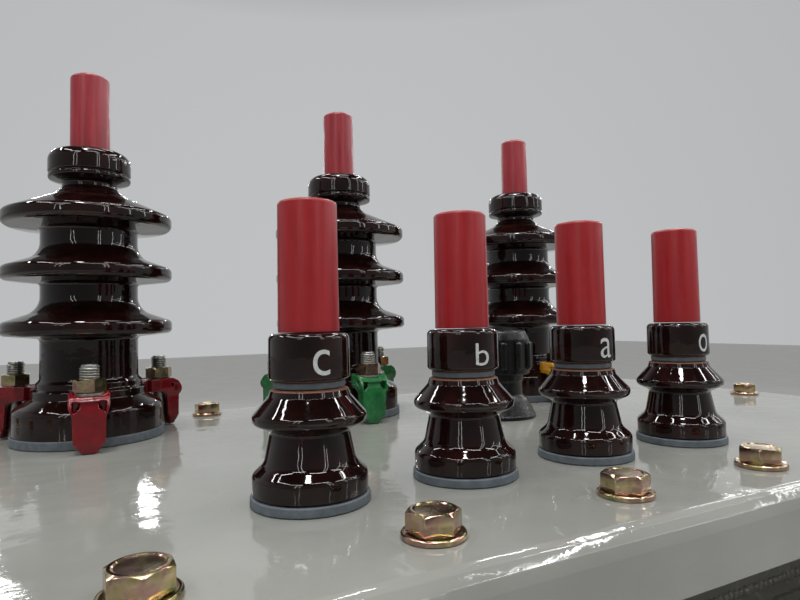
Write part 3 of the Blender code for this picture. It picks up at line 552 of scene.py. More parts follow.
def prism(corners, low, high, facing):
    """An outline in mm, made thick from low to high mm, and turned to lie in another plane."""
    shape = bmesh.new()
    points = rounded(corners)
    rings = [[shape.verts.new((*point, level * MM)) for point in points] for level in (low, high)]
    mesh = skin_rings("prism", shape, rings)
    mesh.transform(facing)
    if facing.determinant() < 0:
        mesh.flip_normals()
    return mesh


def carve(mesh, cuts, modifiers=()):
    """Apply (operation, mesh) cuts to a mesh, then (kind, settings) modifiers."""
    body = add_object("carved", mesh)
    tools = []
    for operation, cutter in cuts:
        tool = add_object("tool", cutter)
        tools.append(tool)
        cut = body.modifiers.new("cut", "BOOLEAN")
        cut.operation, cut.object, cut.solver = operation, tool, "EXACT"
    for kind, settings in modifiers:
        extra = body.modifiers.new(kind, kind)
        for key, value in settings.items():
            setattr(extra, key, value)
    carved = plain_mesh_of(body)
    for tool in tools:
        bpy.data.objects.remove(tool, do_unlink=True)
    carved.shade_smooth()
    return carved


test_prism = prism([(0, 0), (1, 0), (0, 1)], 0, 1, SIDE_ON)
print("a three-sided prism has", len(test_prism.polygons), "faces")
bpy.data.meshes.remove(test_prism)

# %% [markdown]
# Geometry Nodes set out what repeats.  Each tree has named inputs for its
# sizes, and ends by making its instances real and giving them their finish.

# %% Geometry Nodes helpers
def start_tree(name, inputs):
    """A node tree with one geometry input, the named ones, and one geometry output."""
    tree = bpy.data.node_groups.new(name, "GeometryNodeTree")
    tree.interface.new_socket("Geometry", in_out="OUTPUT", socket_type="NodeSocketGeometry")
    tree.interface.new_socket("Start", in_out="INPUT", socket_type="NodeSocketGeometry")
    for label, kind in inputs.items():
        tree.interface.new_socket(label, in_out="INPUT", socket_type="NodeSocket" + kind)
    tree.interface.new_socket("Finish", in_out="INPUT", socket_type="NodeSocketMaterial")
    return tree, tree.nodes.new("NodeGroupInput").outputs


def end_tree(tree, given, geometry):
    """Make a tree's instances real, give them the finish, and put them out."""
    real = node(tree, "GeometryNodeRealizeInstances", {"Geometry": geometry})
    painted = node(tree, "GeometryNodeSetMaterial", {"Geometry": real, "Material": given["Finish"]})
    node(tree, "NodeGroupOutput", {"Geometry": painted})
    return tree


def grow(tree, start, **values):
    """Run a tree on a starting mesh, with these inputs, and return the plain mesh that it makes."""
    holder = add_object("grown", start)
    modifier = holder.modifiers.new("grow", "NODES")
    modifier.node_group = tree
    for item in tree.interface.items_tree:
        if item.in_out == "INPUT" and item.name in values:
            modifier[item.identifier] = values[item.name]
    return plain_mesh_of(holder)


def points_mesh(places):
    """Loose points, each with a turn about the upright axis, from (x, y, z, angle) places."""
    mesh = bpy.data.meshes.new("places")
    mesh.from_pydata([place[:3] for place in places], [], [])
    turns = mesh.attributes.new("turn", "FLOAT", "POINT")
    for index, place in enumerate(places):
        turns.data[index].value = place[3]
    return mesh


def set_out_tree():
    """Stand a shape on each point, turned by the point's own angle."""
    tree, given = start_tree("set_out", {"Shape": "Object", "Size": "Float"})
    turn = node(tree, "GeometryNodeInputNamedAttribute", {"Name": "turn"}, data_type="FLOAT")
    spin = node(tree, "ShaderNodeCombineXYZ", {"Z": turn})
    shape = node(tree, "GeometryNodeObjectInfo", {"Object": given["Shape"]}, output="Geometry")
    copies = node(tree, "GeometryNodeInstanceOnPoints", {
        "Points": given["Start"], "Instance": shape, "Rotation": spin, "Scale": given["Size"]})
    return end_tree(tree, given, copies)


SET_OUT = set_out_tree()


def set_out(mesh, places, material):
    """A mesh repeated at (x, y, z, angle) places, as one plain mesh."""
    shape = add_object("shape", mesh)
    result = grow(SET_OUT, points_mesh(places), Shape=shape, Size=1.0, Finish=MATERIALS[material])
    bpy.data.objects.remove(shape, do_unlink=True)
    return result


print("the", SET_OUT.name, "tree has", len(SET_OUT.nodes), "nodes")

# %% [markdown]
# A hexagon head starts as a six-sided prism.  A lathe then cuts a cone on it,
# which leaves the curved edges that every bolt head has, and a small bevel
# breaks the sharp ones, so that they catch the light.

# %% Hexagon heads and nuts
ROUND_STEPS = 64
HEAD_FACE_SHARE = 0.475
HEAD_CONE = math.radians(30)
HEAD_SHOULDER = 0.05
HEAD_BEYOND = 0.3
DISH_FLOOR, DISH_RIM, DISH_ROUND = 0.80, 0.88, 0.3
HEAD_EDGES = {"width": 0.22 * MM, "segments": 2, "angle_limit": math.radians(25)}
HEAD_SHARP = 25


def hexagon(across_flats, height, chamfer_below, dish):
    """A bolt head or nut in mm, with its lathe-cut cone above, and below too for a nut."""
    corner = across_flats / math.sqrt(3)
    outside = corner + HEAD_BEYOND
    face = across_flats * HEAD_FACE_SHARE
    drop = (corner - face) * math.tan(HEAD_CONE) + HEAD_SHOULDER
    block = turn_mesh("block", rounded([(0, height), (corner, height), (corner, 0), (0, 0)]), 6)
    cone = [(0, height - dish), (face * DISH_FLOOR, height - dish),
            (face * DISH_RIM, height, DISH_ROUND), (face, height), (outside, height - drop)]
    cone += [(outside, drop), (face, 0), (0, 0)] if chamfer_below else [(outside, -1), (0, -1)]
    lathe = turn_mesh("lathe", rounded(cone), ROUND_STEPS)
    return carve(block, [("INTERSECT", lathe)], [("BEVEL", HEAD_EDGES)])


def sharp_mesh(mesh, angle=40):
    """The mesh, smooth except at edges that bend by more than an angle in degrees."""
    mesh.set_sharp_from_angle(angle=math.radians(angle))
    return mesh


print("a hexagon is", round(2 / math.sqrt(3), 3), "times as wide over its corners as over its flats")

# %% [markdown]
# The cover is held by M16 bolts, each on a thick washer.  Nobody lines up
# their corners, so each head is turned by its own angle.  Under the head a
# small round face keeps its corners off the washer, which leaves a dark line.

# %% Cover bolts
WASHER = [(0, 2.7), (13.2, 2.7, 0.5), (14.3, 3.0, 0.6), (15.0, 2.2, 0.7), (15.0, 0.5, 0.6), (14.4, 0), (0, 0)]
BOLT_FACE = [(0, 0.8), (10.4, 0.8), (10.4, 0), (0, 0)]
WASHER_STEPS = 40
CORE_STEPS = 32
WASHER_HEIGHT = 2.8
BOLT_FACE_LIFT = WASHER_HEIGHT - 0.2
BOLT_HEAD_LIFT = WASHER_HEIGHT + 0.5
BOLT_HEAD_HEIGHT = 9.3
BOLT_ACROSS = 22.4
BOLT_DISH = 0.5
BOLT_ROW_Y = 0.216
BOLT_END_X = 0.444
FRONT_BOLTS = (-0.360, -0.240, -0.120, 0, 0.120, 0.240, 0.360)
BACK_BOLTS = (-0.296, -0.148, 0, 0.148, 0.296)
SIDE_BOLTS = (-0.107, 0, 0.107)
SEEN_TURNS = {(-0.120, -BOLT_ROW_Y): 41.0, (0, -BOLT_ROW_Y): 17.8, (0.120, -BOLT_ROW_Y): 28.0,
              (0.240, -BOLT_ROW_Y): 6.0}
TURN_SEED = 11
HEXAGON_REPEATS = 60


def bolt_places(level):
    """Where the cover's bolts stand, and how each is turned: as the photo shows, or any way."""
    spots = [(x, -BOLT_ROW_Y) for x in FRONT_BOLTS] + [(x, BOLT_ROW_Y) for x in BACK_BOLTS]
    spots += [(side * BOLT_END_X, y) for side in (-1, 1) for y in (-BOLT_ROW_Y, *SIDE_BOLTS, BOLT_ROW_Y)]
    dice = random.Random(TURN_SEED)
    turns = [SEEN_TURNS.get(spot, dice.uniform(0, HEXAGON_REPEATS)) for spot in spots]
    return [(x, y, level, math.radians(turn)) for (x, y), turn in zip(spots, turns)]


bolt_head = sharp_mesh(hexagon(BOLT_ACROSS, BOLT_HEAD_HEIGHT, False, BOLT_DISH), HEAD_SHARP)
for name, mesh, lift in (
    ("cover_washers", turn_mesh("washer", rounded(WASHER), WASHER_STEPS), 0),
    ("cover_bolt_faces", turn_mesh("bolt_face", rounded(BOLT_FACE), CORE_STEPS), BOLT_FACE_LIFT),
    ("cover_bolts", bolt_head, BOLT_HEAD_LIFT),
):
    result = set_out(mesh, bolt_places(COVER_TOP + lift * MM), "gold_zinc")
    place_piece(name, result, "zinc_steel", ())
print(len(bolt_places(0)), "cover bolts")

# %% [markdown]
# A clamp is a small hollow claw: its nose rests on the porcelain's ledge, its
# pointed foot on the cover, and a nut pulls its deck down.  Side, front and plan
# outlines meet in one solid, which is then hollowed, and gets windows in front
# and at both sides that leave a post at each corner.  A voxel remesh and some
# smoothing give it the soft edges of a casting under thick enamel.

# %% Clamps
CLAMP_TOP = 45.7
CLAMP_SIDE = [(81.2, 0, 1), (82.5, 9, 4), (82.5, 28, 2), (84.6, 31.5, 2), (84.8, 36, 4), (80.5, 42.5, 5),
              (74, CLAMP_TOP, 5), (53, CLAMP_TOP, 3), (46.2, 42.5, 2.5), (46.2, 35.6, 1), (50, 33.6, 1),
              (68.6, 32, 9), (69.8, 20, 4), (70.5, 11, 3), (76.5, 0, 1)]
CLAMP_PLAN = [(36, 7), (50, 7.5), (52.5, 11.5, 2), (60, 14.3, 4), (83, 14.3, 1.5), (85.5, 13)]
CLAMP_FACE = [(5.0, 0, 1), (11.2, 8.5, 2.5), (11.7, 28, 6), (14.3, 36, 4), (14.3, 56)]
CLAMP_HOLLOW = [(61, 37.0), (74, 37.0, 3), (78, 34, 3), (78, 15, 3), (74, 9, 2), (61, 9)]
CLAMP_HOLLOW_HALF = 8.3
CLAMP_DECK_CUT = [(7, 42.8, 6), (12.4, 45.0, 2), (12.8, 56)]
CLAMP_WEB_CUT = [(82.5, 25), (82.5, 33.6, 0.8), (80.6, 38.8, 0.6), (90, 39.4), (90, 25)]
CLAMP_WEB_HALF = 11.8
CLAMP_FRONT_WINDOW = [(6.6, 39.4, 1), (11.9, 39.8, 1), (11.3, 31.4, 1.5), (9.8, 31.4, 1.5), (6.6, 34.8, 1)]
CLAMP_SIDE_WINDOW = [(70.5, 41.0, 2), (75.2, 40.6, 1.5), (75.2, 34.0, 1.5)]
CLAMP_SIDE_DENT = [(73, 40.6, 1), (81.6, 39.2, 2), (80.6, 32.8, 2), (78, 32, 1.5), (73, 37, 1)]
CLAMP_DENT_HALF = 13.1
CLAMP_LEVELS = (-10, 60)
CLAMP_BEYOND = 100
CLAMP_BESIDE = 20
CLAMP_DECK_FROM = 54
CLAMP_WINDOW_FROM = 76.6
CLAMP_VOXELS = {"mode": "VOXEL", "voxel_size": 0.58 * MM, "use_smooth_shade": True}
CLAMP_SOFTENING = {"factor": 0.5, "iterations": 4}
CLAMP_TURN_STEP = math.radians(30)


def both_sides(half, upright):
    """A half outline and its mirror image, as one closed outline."""
    if upright:
        return half + [(-corner[0], *corner[1:]) for corner in reversed(half)]
    return half + [(corner[0], -corner[1], *corner[2:]) for corner in reversed(half)]


def clamp_mesh():
    """One claw, facing +X from its bushing's axis, its foot at height zero."""
    cuts = [
        ("INTERSECT", prism(both_sides(CLAMP_PLAN, False), *CLAMP_LEVELS, FROM_ABOVE)),
        ("INTERSECT", prism(both_sides(CLAMP_FACE, True), 0, CLAMP_BEYOND, FACE_ON)),
        ("DIFFERENCE", prism(CLAMP_HOLLOW, -CLAMP_HOLLOW_HALF, CLAMP_HOLLOW_HALF, SIDE_ON)),
        ("DIFFERENCE", prism(CLAMP_WEB_CUT, -CLAMP_WEB_HALF, CLAMP_WEB_HALF, SIDE_ON)),
        ("DIFFERENCE", prism(both_sides(CLAMP_DECK_CUT, True), CLAMP_DECK_FROM, CLAMP_BEYOND, FACE_ON)),
    ]
    for flip in (1, -1):
        window = [(flip * across, *rest) for across, *rest in CLAMP_FRONT_WINDOW]
        cuts.append(("DIFFERENCE", prism(window, CLAMP_WINDOW_FROM, CLAMP_BEYOND, FACE_ON)))
        for outline, inner in ((CLAMP_SIDE_WINDOW, CLAMP_HOLLOW_HALF), (CLAMP_SIDE_DENT, CLAMP_DENT_HALF)):
            low, high = sorted((flip * inner, flip * CLAMP_BESIDE))
            cuts.append(("DIFFERENCE", prism(outline, low, high, SIDE_ON)))
    side = prism(CLAMP_SIDE, -CLAMP_BESIDE, CLAMP_BESIDE, SIDE_ON)
    return carve(side, cuts, [("REMESH", CLAMP_VOXELS), ("SMOOTH", CLAMP_SOFTENING)])


def clamp_stands():
    """For each packed clamp, its name, its bushing's foot and the angle that it faces."""
    for side in HV_NAMES:
        axis = foot_of(f"hv_{side}_gasket")
        for number in (1, 2, 3):
            name = f"hv_{side}_clamp_{number}"
            away = foot_of(name) - axis
            steps = round(math.atan2(away.y, away.x) / CLAMP_TURN_STEP)
            yield name, axis, steps * CLAMP_TURN_STEP


claw = clamp_mesh()
for name, axis, angle in clamp_stands():
    mesh = claw.copy()
    mesh.transform(Matrix.Translation(axis) @ Matrix.Rotation(angle, 4, "Z"))
    place_piece("cast_" + name, mesh, SLOT_OF[name], (SLOT_OF[name],), name)
print("nine clamps of", len(claw.polygons), "faces each")

# %% [markdown]
# A stud stands through each clamp, with a washer and a nut.  Its thread is a
# spiral: a curve that climbs by one pitch in each turn, with a pointed section
# swept along it.  Geometry Nodes have both, so the tree needs only sizes.

# %% Studs, nuts and washers
STUD_REACH = 68.0
STUD_RADIUS = 7.0
STUD_SHANK = STUD_RADIUS - 0.9
STUD_TIP = STUD_RADIUS - 1.3
STUD_TOP = 21.4
STUD_FOOT = -45.0
DECK_DROP = 2.7
THREAD_PITCH = 2.0
THREAD_DEPTH = 1.1
THREAD_SUNK = 0.8
THREAD_END = 1.6
THREAD_STEPS = 28
NUT_ACROSS = 21.0
NUT_HEIGHT = 10.4
NUT_TURN, NUT_TURN_STEP = 17, 23
STUD_WASHER = [(0, 2.4), (10.3, 2.4, 0.5), (10.5, 0.3, 0.4), (10.1, 0), (0, 0)]
STUD_CORE = [(0, STUD_TOP), (STUD_TIP, STUD_TOP, 0.5), (STUD_SHANK, STUD_TOP - 1.4),
             (STUD_SHANK, STUD_FOOT), (0, STUD_FOOT)]


def thread_tree():
    """A pointed ridge that climbs round the starting core."""
    sizes = {"Radius": "Float", "Pitch": "Float", "Turns": "Float", "Depth": "Float"}
    tree, given = start_tree("thread", sizes)
    climb = node(tree, "ShaderNodeMath", {0: given["Pitch"], 1: given["Turns"]}, operation="MULTIPLY")
    path = node(tree, "GeometryNodeCurveSpiral", {
        "Resolution": THREAD_STEPS, "Rotations": given["Turns"], "Start Radius": given["Radius"],
        "End Radius": given["Radius"], "Height": climb})
    level = node(tree, "GeometryNodeSetCurveNormal", {"Curve": path}, mode="Z_UP")
    section = node(tree, "GeometryNodeCurvePrimitiveCircle", {"Resolution": 4, "Radius": given["Depth"]})
    ridge = node(tree, "GeometryNodeCurveToMesh", {
        "Curve": level, "Profile Curve": section, "Fill Caps": True})
    both = node(tree, "GeometryNodeJoinGeometry", {"Geometry": ridge})
    tree.links.new(given["Start"], both.node.inputs["Geometry"])
    return end_tree(tree, given, both)


stud = grow(
    thread_tree(), turn_mesh("core", rounded(STUD_CORE), CORE_STEPS),
    Radius=(STUD_RADIUS - THREAD_SUNK) * MM, Pitch=THREAD_PITCH * MM,
    Turns=(STUD_TOP - THREAD_END) / THREAD_PITCH, Depth=THREAD_DEPTH * MM,
    Finish=MATERIALS["grey_zinc"])
stud_places = []
for index, (name, axis, angle) in enumerate(clamp_stands()):
    reach = Vector((math.cos(angle), math.sin(angle), 0)) * STUD_REACH * MM
    spot = axis + reach + Vector((0, 0, CLAMP_TOP * MM))
    stud_places.append((*spot, angle + math.radians(NUT_TURN + NUT_TURN_STEP * index)))
nut = sharp_mesh(hexagon(NUT_ACROSS, NUT_HEIGHT, True, 0), HEAD_SHARP)
for name, mesh, lift, material in (
    ("clamp_studs", stud, 0, "grey_zinc"),
    ("clamp_nuts", nut, 0, "gold_zinc"),
    ("clamp_washers", turn_mesh("stud_washer", rounded(STUD_WASHER), WASHER_STEPS), -DECK_DROP,
     "grey_zinc"),
):
    raised = [(x, y, z + lift * MM, turn) for x, y, z, turn in stud_places]
    place_piece(name, set_out(mesh, raised, material), "zinc_steel", ())
print(len(stud_places), "studs")

# %% [markdown]
# The cover is one plate with its edges folded down.  A press brake makes each
# fold in small steps, and the narrow faces between them show as bright lines.
# So the cover is built as rings, from the middle out: each ring is a rectangle
# with round corners, set in from the edge by so much and at such a height.

# %% Cover
COVER_CORNER = 9.0
COVER_EDGE = [(30.0, 0), (10.6, 0, 1.6), (5.6, -1.5, 1.6), (1.7, -5.0, 1.6), (0, -10.4, 1.6)]
COVER_INSIDE = [(5.6, -12, 3.0), (12, -6), (63, -6)]
SKIRT_THICK = 5.6
SKIRT_ROUND = 0.8
FOLD_SHARP = 22


def ring_mesh(name, outline, half_x, half_y, corner, steps=6):
    """Rings of (inset, height) in metres, from the middle out, closed in the middle at both ends."""
    shape = bmesh.new()
    rings = []
    for inset, height in outline:
        reach = max(corner - inset, 0)
        stand = (half_x - inset - reach, half_y - inset - reach)
        ring = []
        for quarter, (sx, sy) in enumerate(((1, 1), (-1, 1), (-1, -1), (1, -1))):
            for step in range(steps + 1):
                angle = math.pi / 2 * (quarter + step / steps)
                x = sx * stand[0] + reach * math.cos(angle)
                y = sy * stand[1] + reach * math.sin(angle)
                ring.append(shape.verts.new((x, y, height)))
        rings.append(ring)
    return skin_rings(name, shape, rings, FOLD_SHARP)


cover_low, cover_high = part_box("cover")
drop = (cover_low[2] - COVER_TOP) / MM
skirt = [(0, drop, SKIRT_ROUND), (SKIRT_THICK, drop, SKIRT_ROUND)]
section = rounded(COVER_EDGE + skirt + COVER_INSIDE)
outline = [(inset, height + COVER_TOP) for inset, height in section]
cover = ring_mesh("fine_cover", outline, cover_high[0], cover_high[1], COVER_CORNER * MM)
place_piece("fine_cover", cover, "cover_paint", ("cover_paint",), "cover")
print("cover drops", round(-drop, 1), "mm")

# %% [markdown]
# The tap changer stands between the rows: a conical foot, a neck, and a ribbed
# cap that is turned by hand.  The ribs are one rounded bar, set out on a circle.

# %% Tap changer
TAP_STEPS = 96
TAP_BASE = [(0, 41.7), (22.4, 41.7), (22.4, 36.0, 2.0), (21.4, 34.0, 2.0), (21.4, 22.0, 3.0),
            (26.6, 17.2, 2.6), (33.0, 4.0, 2.0), (34.0, 2.6, 1.0), (34.0, 0), (0, 0)]
TAP_CAP = [(0, 47.1), (13.0, 45.9, 14.0), (25.4, 42.2, 4.0), (29.0, 33.8, 5.0), (29.0, 1.0, 0.8),
           (28.0, 0), (0, 0)]
RIB_SIZE = (8.0, 7.0, 27.0)
RIB_ROUND = 2.6
RIB_FOOT = 4.8
RIB_REACH = 28.4
RIB_COUNT = 12


def ribs_tree():
    """Copies of the starting rib round a circle, each facing outwards."""
    tree, given = start_tree("ribs", {"Count": "Int", "Radius": "Float"})
    circle = node(tree, "GeometryNodeMeshCircle", {"Vertices": given["Count"], "Radius": given["Radius"]})
    outward = node(tree, "FunctionNodeAlignRotationToVector", {
        "Vector": node(tree, "GeometryNodeInputPosition")}, axis="X", pivot_axis="Z")
    copies = node(tree, "GeometryNodeInstanceOnPoints", {
        "Points": circle, "Instance": given["Start"], "Rotation": outward})
    return end_tree(tree, given, copies)


def rib_mesh():
    """A bar with rounded edges."""
    shape = bmesh.new()
    bmesh.ops.create_cube(shape, size=1)
    for vert in shape.verts:
        vert.co = Vector([along * size * MM for along, size in zip(vert.co, RIB_SIZE)])
    bmesh.ops.bevel(shape, geom=shape.edges[:], offset=RIB_ROUND * MM, segments=4, profile=0.5,
                    affect="EDGES")
    return finished_mesh("rib", shape)


stand_turned("tap_changer_base", TAP_BASE, TAP_STEPS, ("black_plastic",))
stand_turned("tap_changer_cap", TAP_CAP, TAP_STEPS, ("black_plastic",))
ribs = grow(ribs_tree(), rib_mesh(), Count=RIB_COUNT, Radius=RIB_REACH * MM,
            Finish=MATERIALS["black_plastic"])
rib_level = (RIB_FOOT + RIB_SIZE[2] / 2) * MM
ribs.transform(Matrix.Translation(foot_of("tap_changer_cap") + Vector((0, 0, rib_level))))
place_piece("tap_changer_ribs", ribs, "black_plastic", ())
print(RIB_COUNT, "ribs on the tap changer")

# %% [markdown]
# A welder's bead looks like a row of overlapping coins, because the molten pool
# freezes in steps.  The tree walks along a line, sets a flattened ball at each
# step, and makes no two quite alike.

# %% Weld beads
BEAD_STEP = 5.2
BEAD_WIDTH = 4.2
BEAD_SEED = 5
BEAD_SMALLEST = (0.75, 0.70, 0.70)
BEAD_LARGEST = (0.95, 1.05, 1.05)
RIM_LEG = 4.5
RIM_BEAD_RISE = 0.5


def bead_tree():
    """Overlapping flattened balls along the starting line."""
    tree, given = start_tree("bead", {"Step": "Float", "Width": "Float", "Seed": "Int"})
    line = node(tree, "GeometryNodeMeshToCurve", {"Mesh": given["Start"]})
    steps = node(tree, "GeometryNodeResampleCurve", {"Curve": line, "Length": given["Step"]}, mode="LENGTH")
    along = node(tree, "FunctionNodeAlignRotationToVector", {
        "Vector": node(tree, "GeometryNodeInputTangent")}, axis="X")
    ball = node(tree, "GeometryNodeMeshUVSphere", {"Segments": 12, "Rings": 7, "Radius": given["Width"]})
    size = node(tree, "FunctionNodeRandomValue", {
        0: BEAD_SMALLEST, 1: BEAD_LARGEST, "Seed": given["Seed"]}, data_type="FLOAT_VECTOR")
    balls = node(tree, "GeometryNodeInstanceOnPoints", {
        "Points": steps, "Instance": ball, "Rotation": along, "Scale": size})
    return end_tree(tree, given, balls)


BEAD = bead_tree()


def weld(corners, lines, step, width):
    """A bead along lines between corners, its step and width in mm."""
    mesh = bpy.data.meshes.new("lines")
    mesh.from_pydata(corners, lines, [])
    return grow(BEAD, mesh, Step=step * MM, Width=width * MM, Seed=BEAD_SEED,
                Finish=MATERIALS["tank_paint"])


tank_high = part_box("tank_body")[1]
half_x = tank_high[0] + RIM_LEG * MM
half_y = tank_high[1] + RIM_LEG * MM
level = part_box("tank_rim")[0][2] + RIM_BEAD_RISE * MM
corners = [(sx * half_x, sy * half_y, level) for sx, sy in ((1, 1), (-1, 1), (-1, -1), (1, -1))]
bead = weld(corners, [(0, 1), (1, 2), (2, 3), (3, 0)], BEAD_STEP, BEAD_WIDTH)
place_piece("rim_weld", bead, "tank_paint", ())
print("rim weld of", len(bead.polygons), "faces")

# %% [markdown]
# The corrugated walls cool the oil.  Each fin is a pocket folded from thin
# sheet: round-nosed along most of its height, and pressed flat and welded at
# both ends.  One fin is lofted through level outlines, and a tree repeats it
# along the wall.

# %% Corrugated walls
FIN_SHEET = 3.0
SHEET_ROUND = 1.5
FIN_ROOT = 4.0
FIN_ARC = [math.pi / 8 * step for step in range(5)]
FIN_PINCH = ((0, 1.5), (5, 1.5), (8, 2.2), (12, 3.9), (16, 4.8), (22, 5.0))
FIN_SETS = {"front": (18, 40.5, math.pi), "back": (18, 40.5, 0),
            "left": (8, 36.5, math.pi / 2), "right": (8, 36.5, -math.pi / 2)}


def fin_mesh(depth, height):
    """One fin in mm, standing out along +Y, with soft roots, a round nose and flat ends."""
    shape = bmesh.new()
    rings = []
    for level, half in [*FIN_PINCH, *[(height - rise, half) for rise, half in reversed(FIN_PINCH)]]:
        side = [(half + FIN_ROOT * (1 - math.sin(a)), FIN_ROOT * (1 - math.cos(a))) for a in FIN_ARC]
        side += [(half * math.cos(a), depth - half + half * math.sin(a)) for a in FIN_ARC]
        outline = side + [(-x, y) for x, y in reversed(side[:-1])]
        rings.append([shape.verts.new((x * MM, y * MM, level * MM)) for x, y in outline])
    return skin_rings("fin", shape, rings)


def row_tree():
    """The starting shape, repeated in a row along X."""
    tree, given = start_tree("row", {"Count": "Int", "Step": "Float"})
    step = node(tree, "ShaderNodeCombineXYZ", {"X": given["Step"]})
    line = node(tree, "GeometryNodeMeshLine", {"Count": given["Count"], "Offset": step})
    copies = node(tree, "GeometryNodeInstanceOnPoints", {"Points": line, "Instance": given["Start"]})
    return end_tree(tree, given, copies)


def merged(name, *meshes):
    """Several meshes as one."""
    shape = bmesh.new()
    for mesh in meshes:
        shape.from_mesh(mesh)
    result = bpy.data.meshes.new(name)
    shape.to_mesh(result)
    shape.free()
    return sharp_mesh(result)


ROW = row_tree()
for side, (count, margin, turn) in FIN_SETS.items():
    name = "corrugated_wall_" + side
    low, high = (Vector(corner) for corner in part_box(name))
    size = Matrix.Rotation(-turn, 4, "Z") @ (high - low)
    width, depth, height = (abs(length) / MM for length in size)
    tank_side = tank_high[0] if side in ("front", "back") else tank_high[1]
    reach = tank_side / MM - margin
    fin = fin_mesh(depth - FIN_SHEET, height)
    fins = grow(ROW, fin, Count=count, Step=2 * reach / (count - 1) * MM, Finish=MATERIALS["tank_paint"])
    fins.transform(Matrix.Translation((-reach * MM, FIN_SHEET * MM, 0)))
    half = width / 2
    plan = [(-half, 0), (half, 0), (half, FIN_SHEET, SHEET_ROUND), (-half, FIN_SHEET, SHEET_ROUND)]
    wall = merged("folded_wall_" + side, fins, prism(plan, 0, height, FROM_ABOVE))
    middle = (low + high) / 2
    spin = Matrix.Rotation(turn, 4, "Z")
    inward = spin @ Vector((0, -depth / 2 * MM, 0))
    wall.transform(Matrix.Translation((middle.x + inward.x, middle.y + inward.y, low.z)) @ spin)
    place_piece("folded_wall_" + side, wall, "tank_paint", ("tank_paint",), name)
    print(side, "wall:", count, "fins", round(depth), "mm deep")

# %% [markdown]
# The lifting lugs are flame-cut plates with a drilled eye, all their edges
# eased so that a sling isn't cut, and a weld runs down both sides of each.

# %% Lifting lugs
LUG_EYE_INSET = 30.0
LUG_EYE_RADIUS = 17.0
LUG_EDGES = {"width": 1.2 * MM, "segments": 3, "angle_limit": math.radians(40)}
LUG_SHARP = 30
LUG_DRILL_HALF = 20
LUG_CORNER, LUG_ROUND = 13, 9
LUG_TAPER_FROM, LUG_TAPER_ROUND = 50, 6
LUG_SEAM_END = 2
LUG_BEAD_STEP = 4.0
LUG_BEAD_WIDTH = 3.4
for side, way in (("left", -1), ("right", 1)):
    for end in ("front", "back"):
        name = f"lifting_lug_{end}_{side}"
        low, high = (Vector(corner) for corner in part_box(name))
        reach, thick, tall = ((b - a) / MM for a, b in zip(low, high))
        wall_x = low.x if way > 0 else high.x
        plate = [(0, -tall), (0, 0), (reach - LUG_CORNER, 0, LUG_ROUND),
                 (reach, -LUG_CORNER, LUG_ROUND), (reach, -LUG_TAPER_FROM, LUG_TAPER_ROUND)]
        body = prism([(way * corner[0], *corner[1:]) for corner in plate], -thick / 2, thick / 2, SIDE_ON)
        drill = [(0, LUG_DRILL_HALF), (LUG_EYE_RADIUS, LUG_DRILL_HALF),
                 (LUG_EYE_RADIUS, -LUG_DRILL_HALF), (0, -LUG_DRILL_HALF)]
        eye = turn_mesh("eye", rounded(drill), ROUND_STEPS)
        eye.transform(Matrix.Translation((way * (reach - LUG_EYE_INSET) * MM, 0, -LUG_EYE_INSET * MM))
                      @ Matrix.Rotation(math.pi / 2, 4, "X"))
        lug = sharp_mesh(carve(body, [("DIFFERENCE", eye)], [("BEVEL", LUG_EDGES)]), LUG_SHARP)
        lug.transform(Matrix.Translation((wall_x, (low.y + high.y) / 2, high.z)))
        place_piece("cut_" + name, lug, "tank_paint", ("tank_paint",), name)
        ends = (low.z + LUG_SEAM_END * MM, high.z - LUG_SEAM_END * MM)
        corners = [(wall_x, y, z) for y in (low.y, high.y) for z in ends]
        seams = weld(corners, [(0, 1), (2, 3)], LUG_BEAD_STEP, LUG_BEAD_WIDTH)
        place_piece(f"lug_weld_{end}_{side}", seams, "tank_paint", ())
print("four lugs", round(reach), "mm wide")

# %% [markdown]
# The oil is let out low on one side, through a welded boss with a hexagon cap
# and a small bleed screw in its middle.

# %% Drain plug
BOSS = [(0, 22), (17, 22), (17, 8.5, 2.0), (24.5, 6.0, 1.5), (26, 3.0, 1.5), (26, 0), (0, 0)]
DRAIN_CAP = (36.2, 12.0, 20.0)
BLEED_SCREW = (11.0, 4.0, 31.9)
pieces = [turn_mesh("boss", rounded(BOSS), ROUND_STEPS)]
for (across, height, foot), chamfer_below in ((DRAIN_CAP, True), (BLEED_SCREW, False)):
    head = hexagon(across, height, chamfer_below, 0)
    head.transform(Matrix.Translation((0, 0, foot * MM)))
    pieces.append(head)
drain = merged("capped_drain", *pieces)
low, high = (Vector(corner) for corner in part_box("drain_plug"))
drain.transform(Matrix.Translation((low.x, (low.y + high.y) / 2, (low.z + high.z) / 2))
                @ Matrix.Rotation(math.pi / 2, 4, "Y"))
place_piece("capped_drain", drain, "tank_paint", ("tank_paint",), "drain_plug")
print("drain at", round(low.z, 3), "m")

# %% [markdown]
# A pale floor and a plain world stand round the transformer.  The world is
# paler behind it than behind the camera, as in a studio, so that dark glaze
# stays dark in front and gets a bright outline.  It turns dark overhead, because
# the tops of the sheds and of the bolts mirror it there.

# %% Floor and world
FLOOR_SIZE = 40.0
WORLD_LEVEL = 0.68
FRONT_SHARE = 0.30
BEHIND = (0.36, 0.93, 0)
DARK_FROM, DARK_TO = 0.46, 0.72
PALE_COLOUR, DARK_COLOUR = "#e2e4e6", "#47494c"


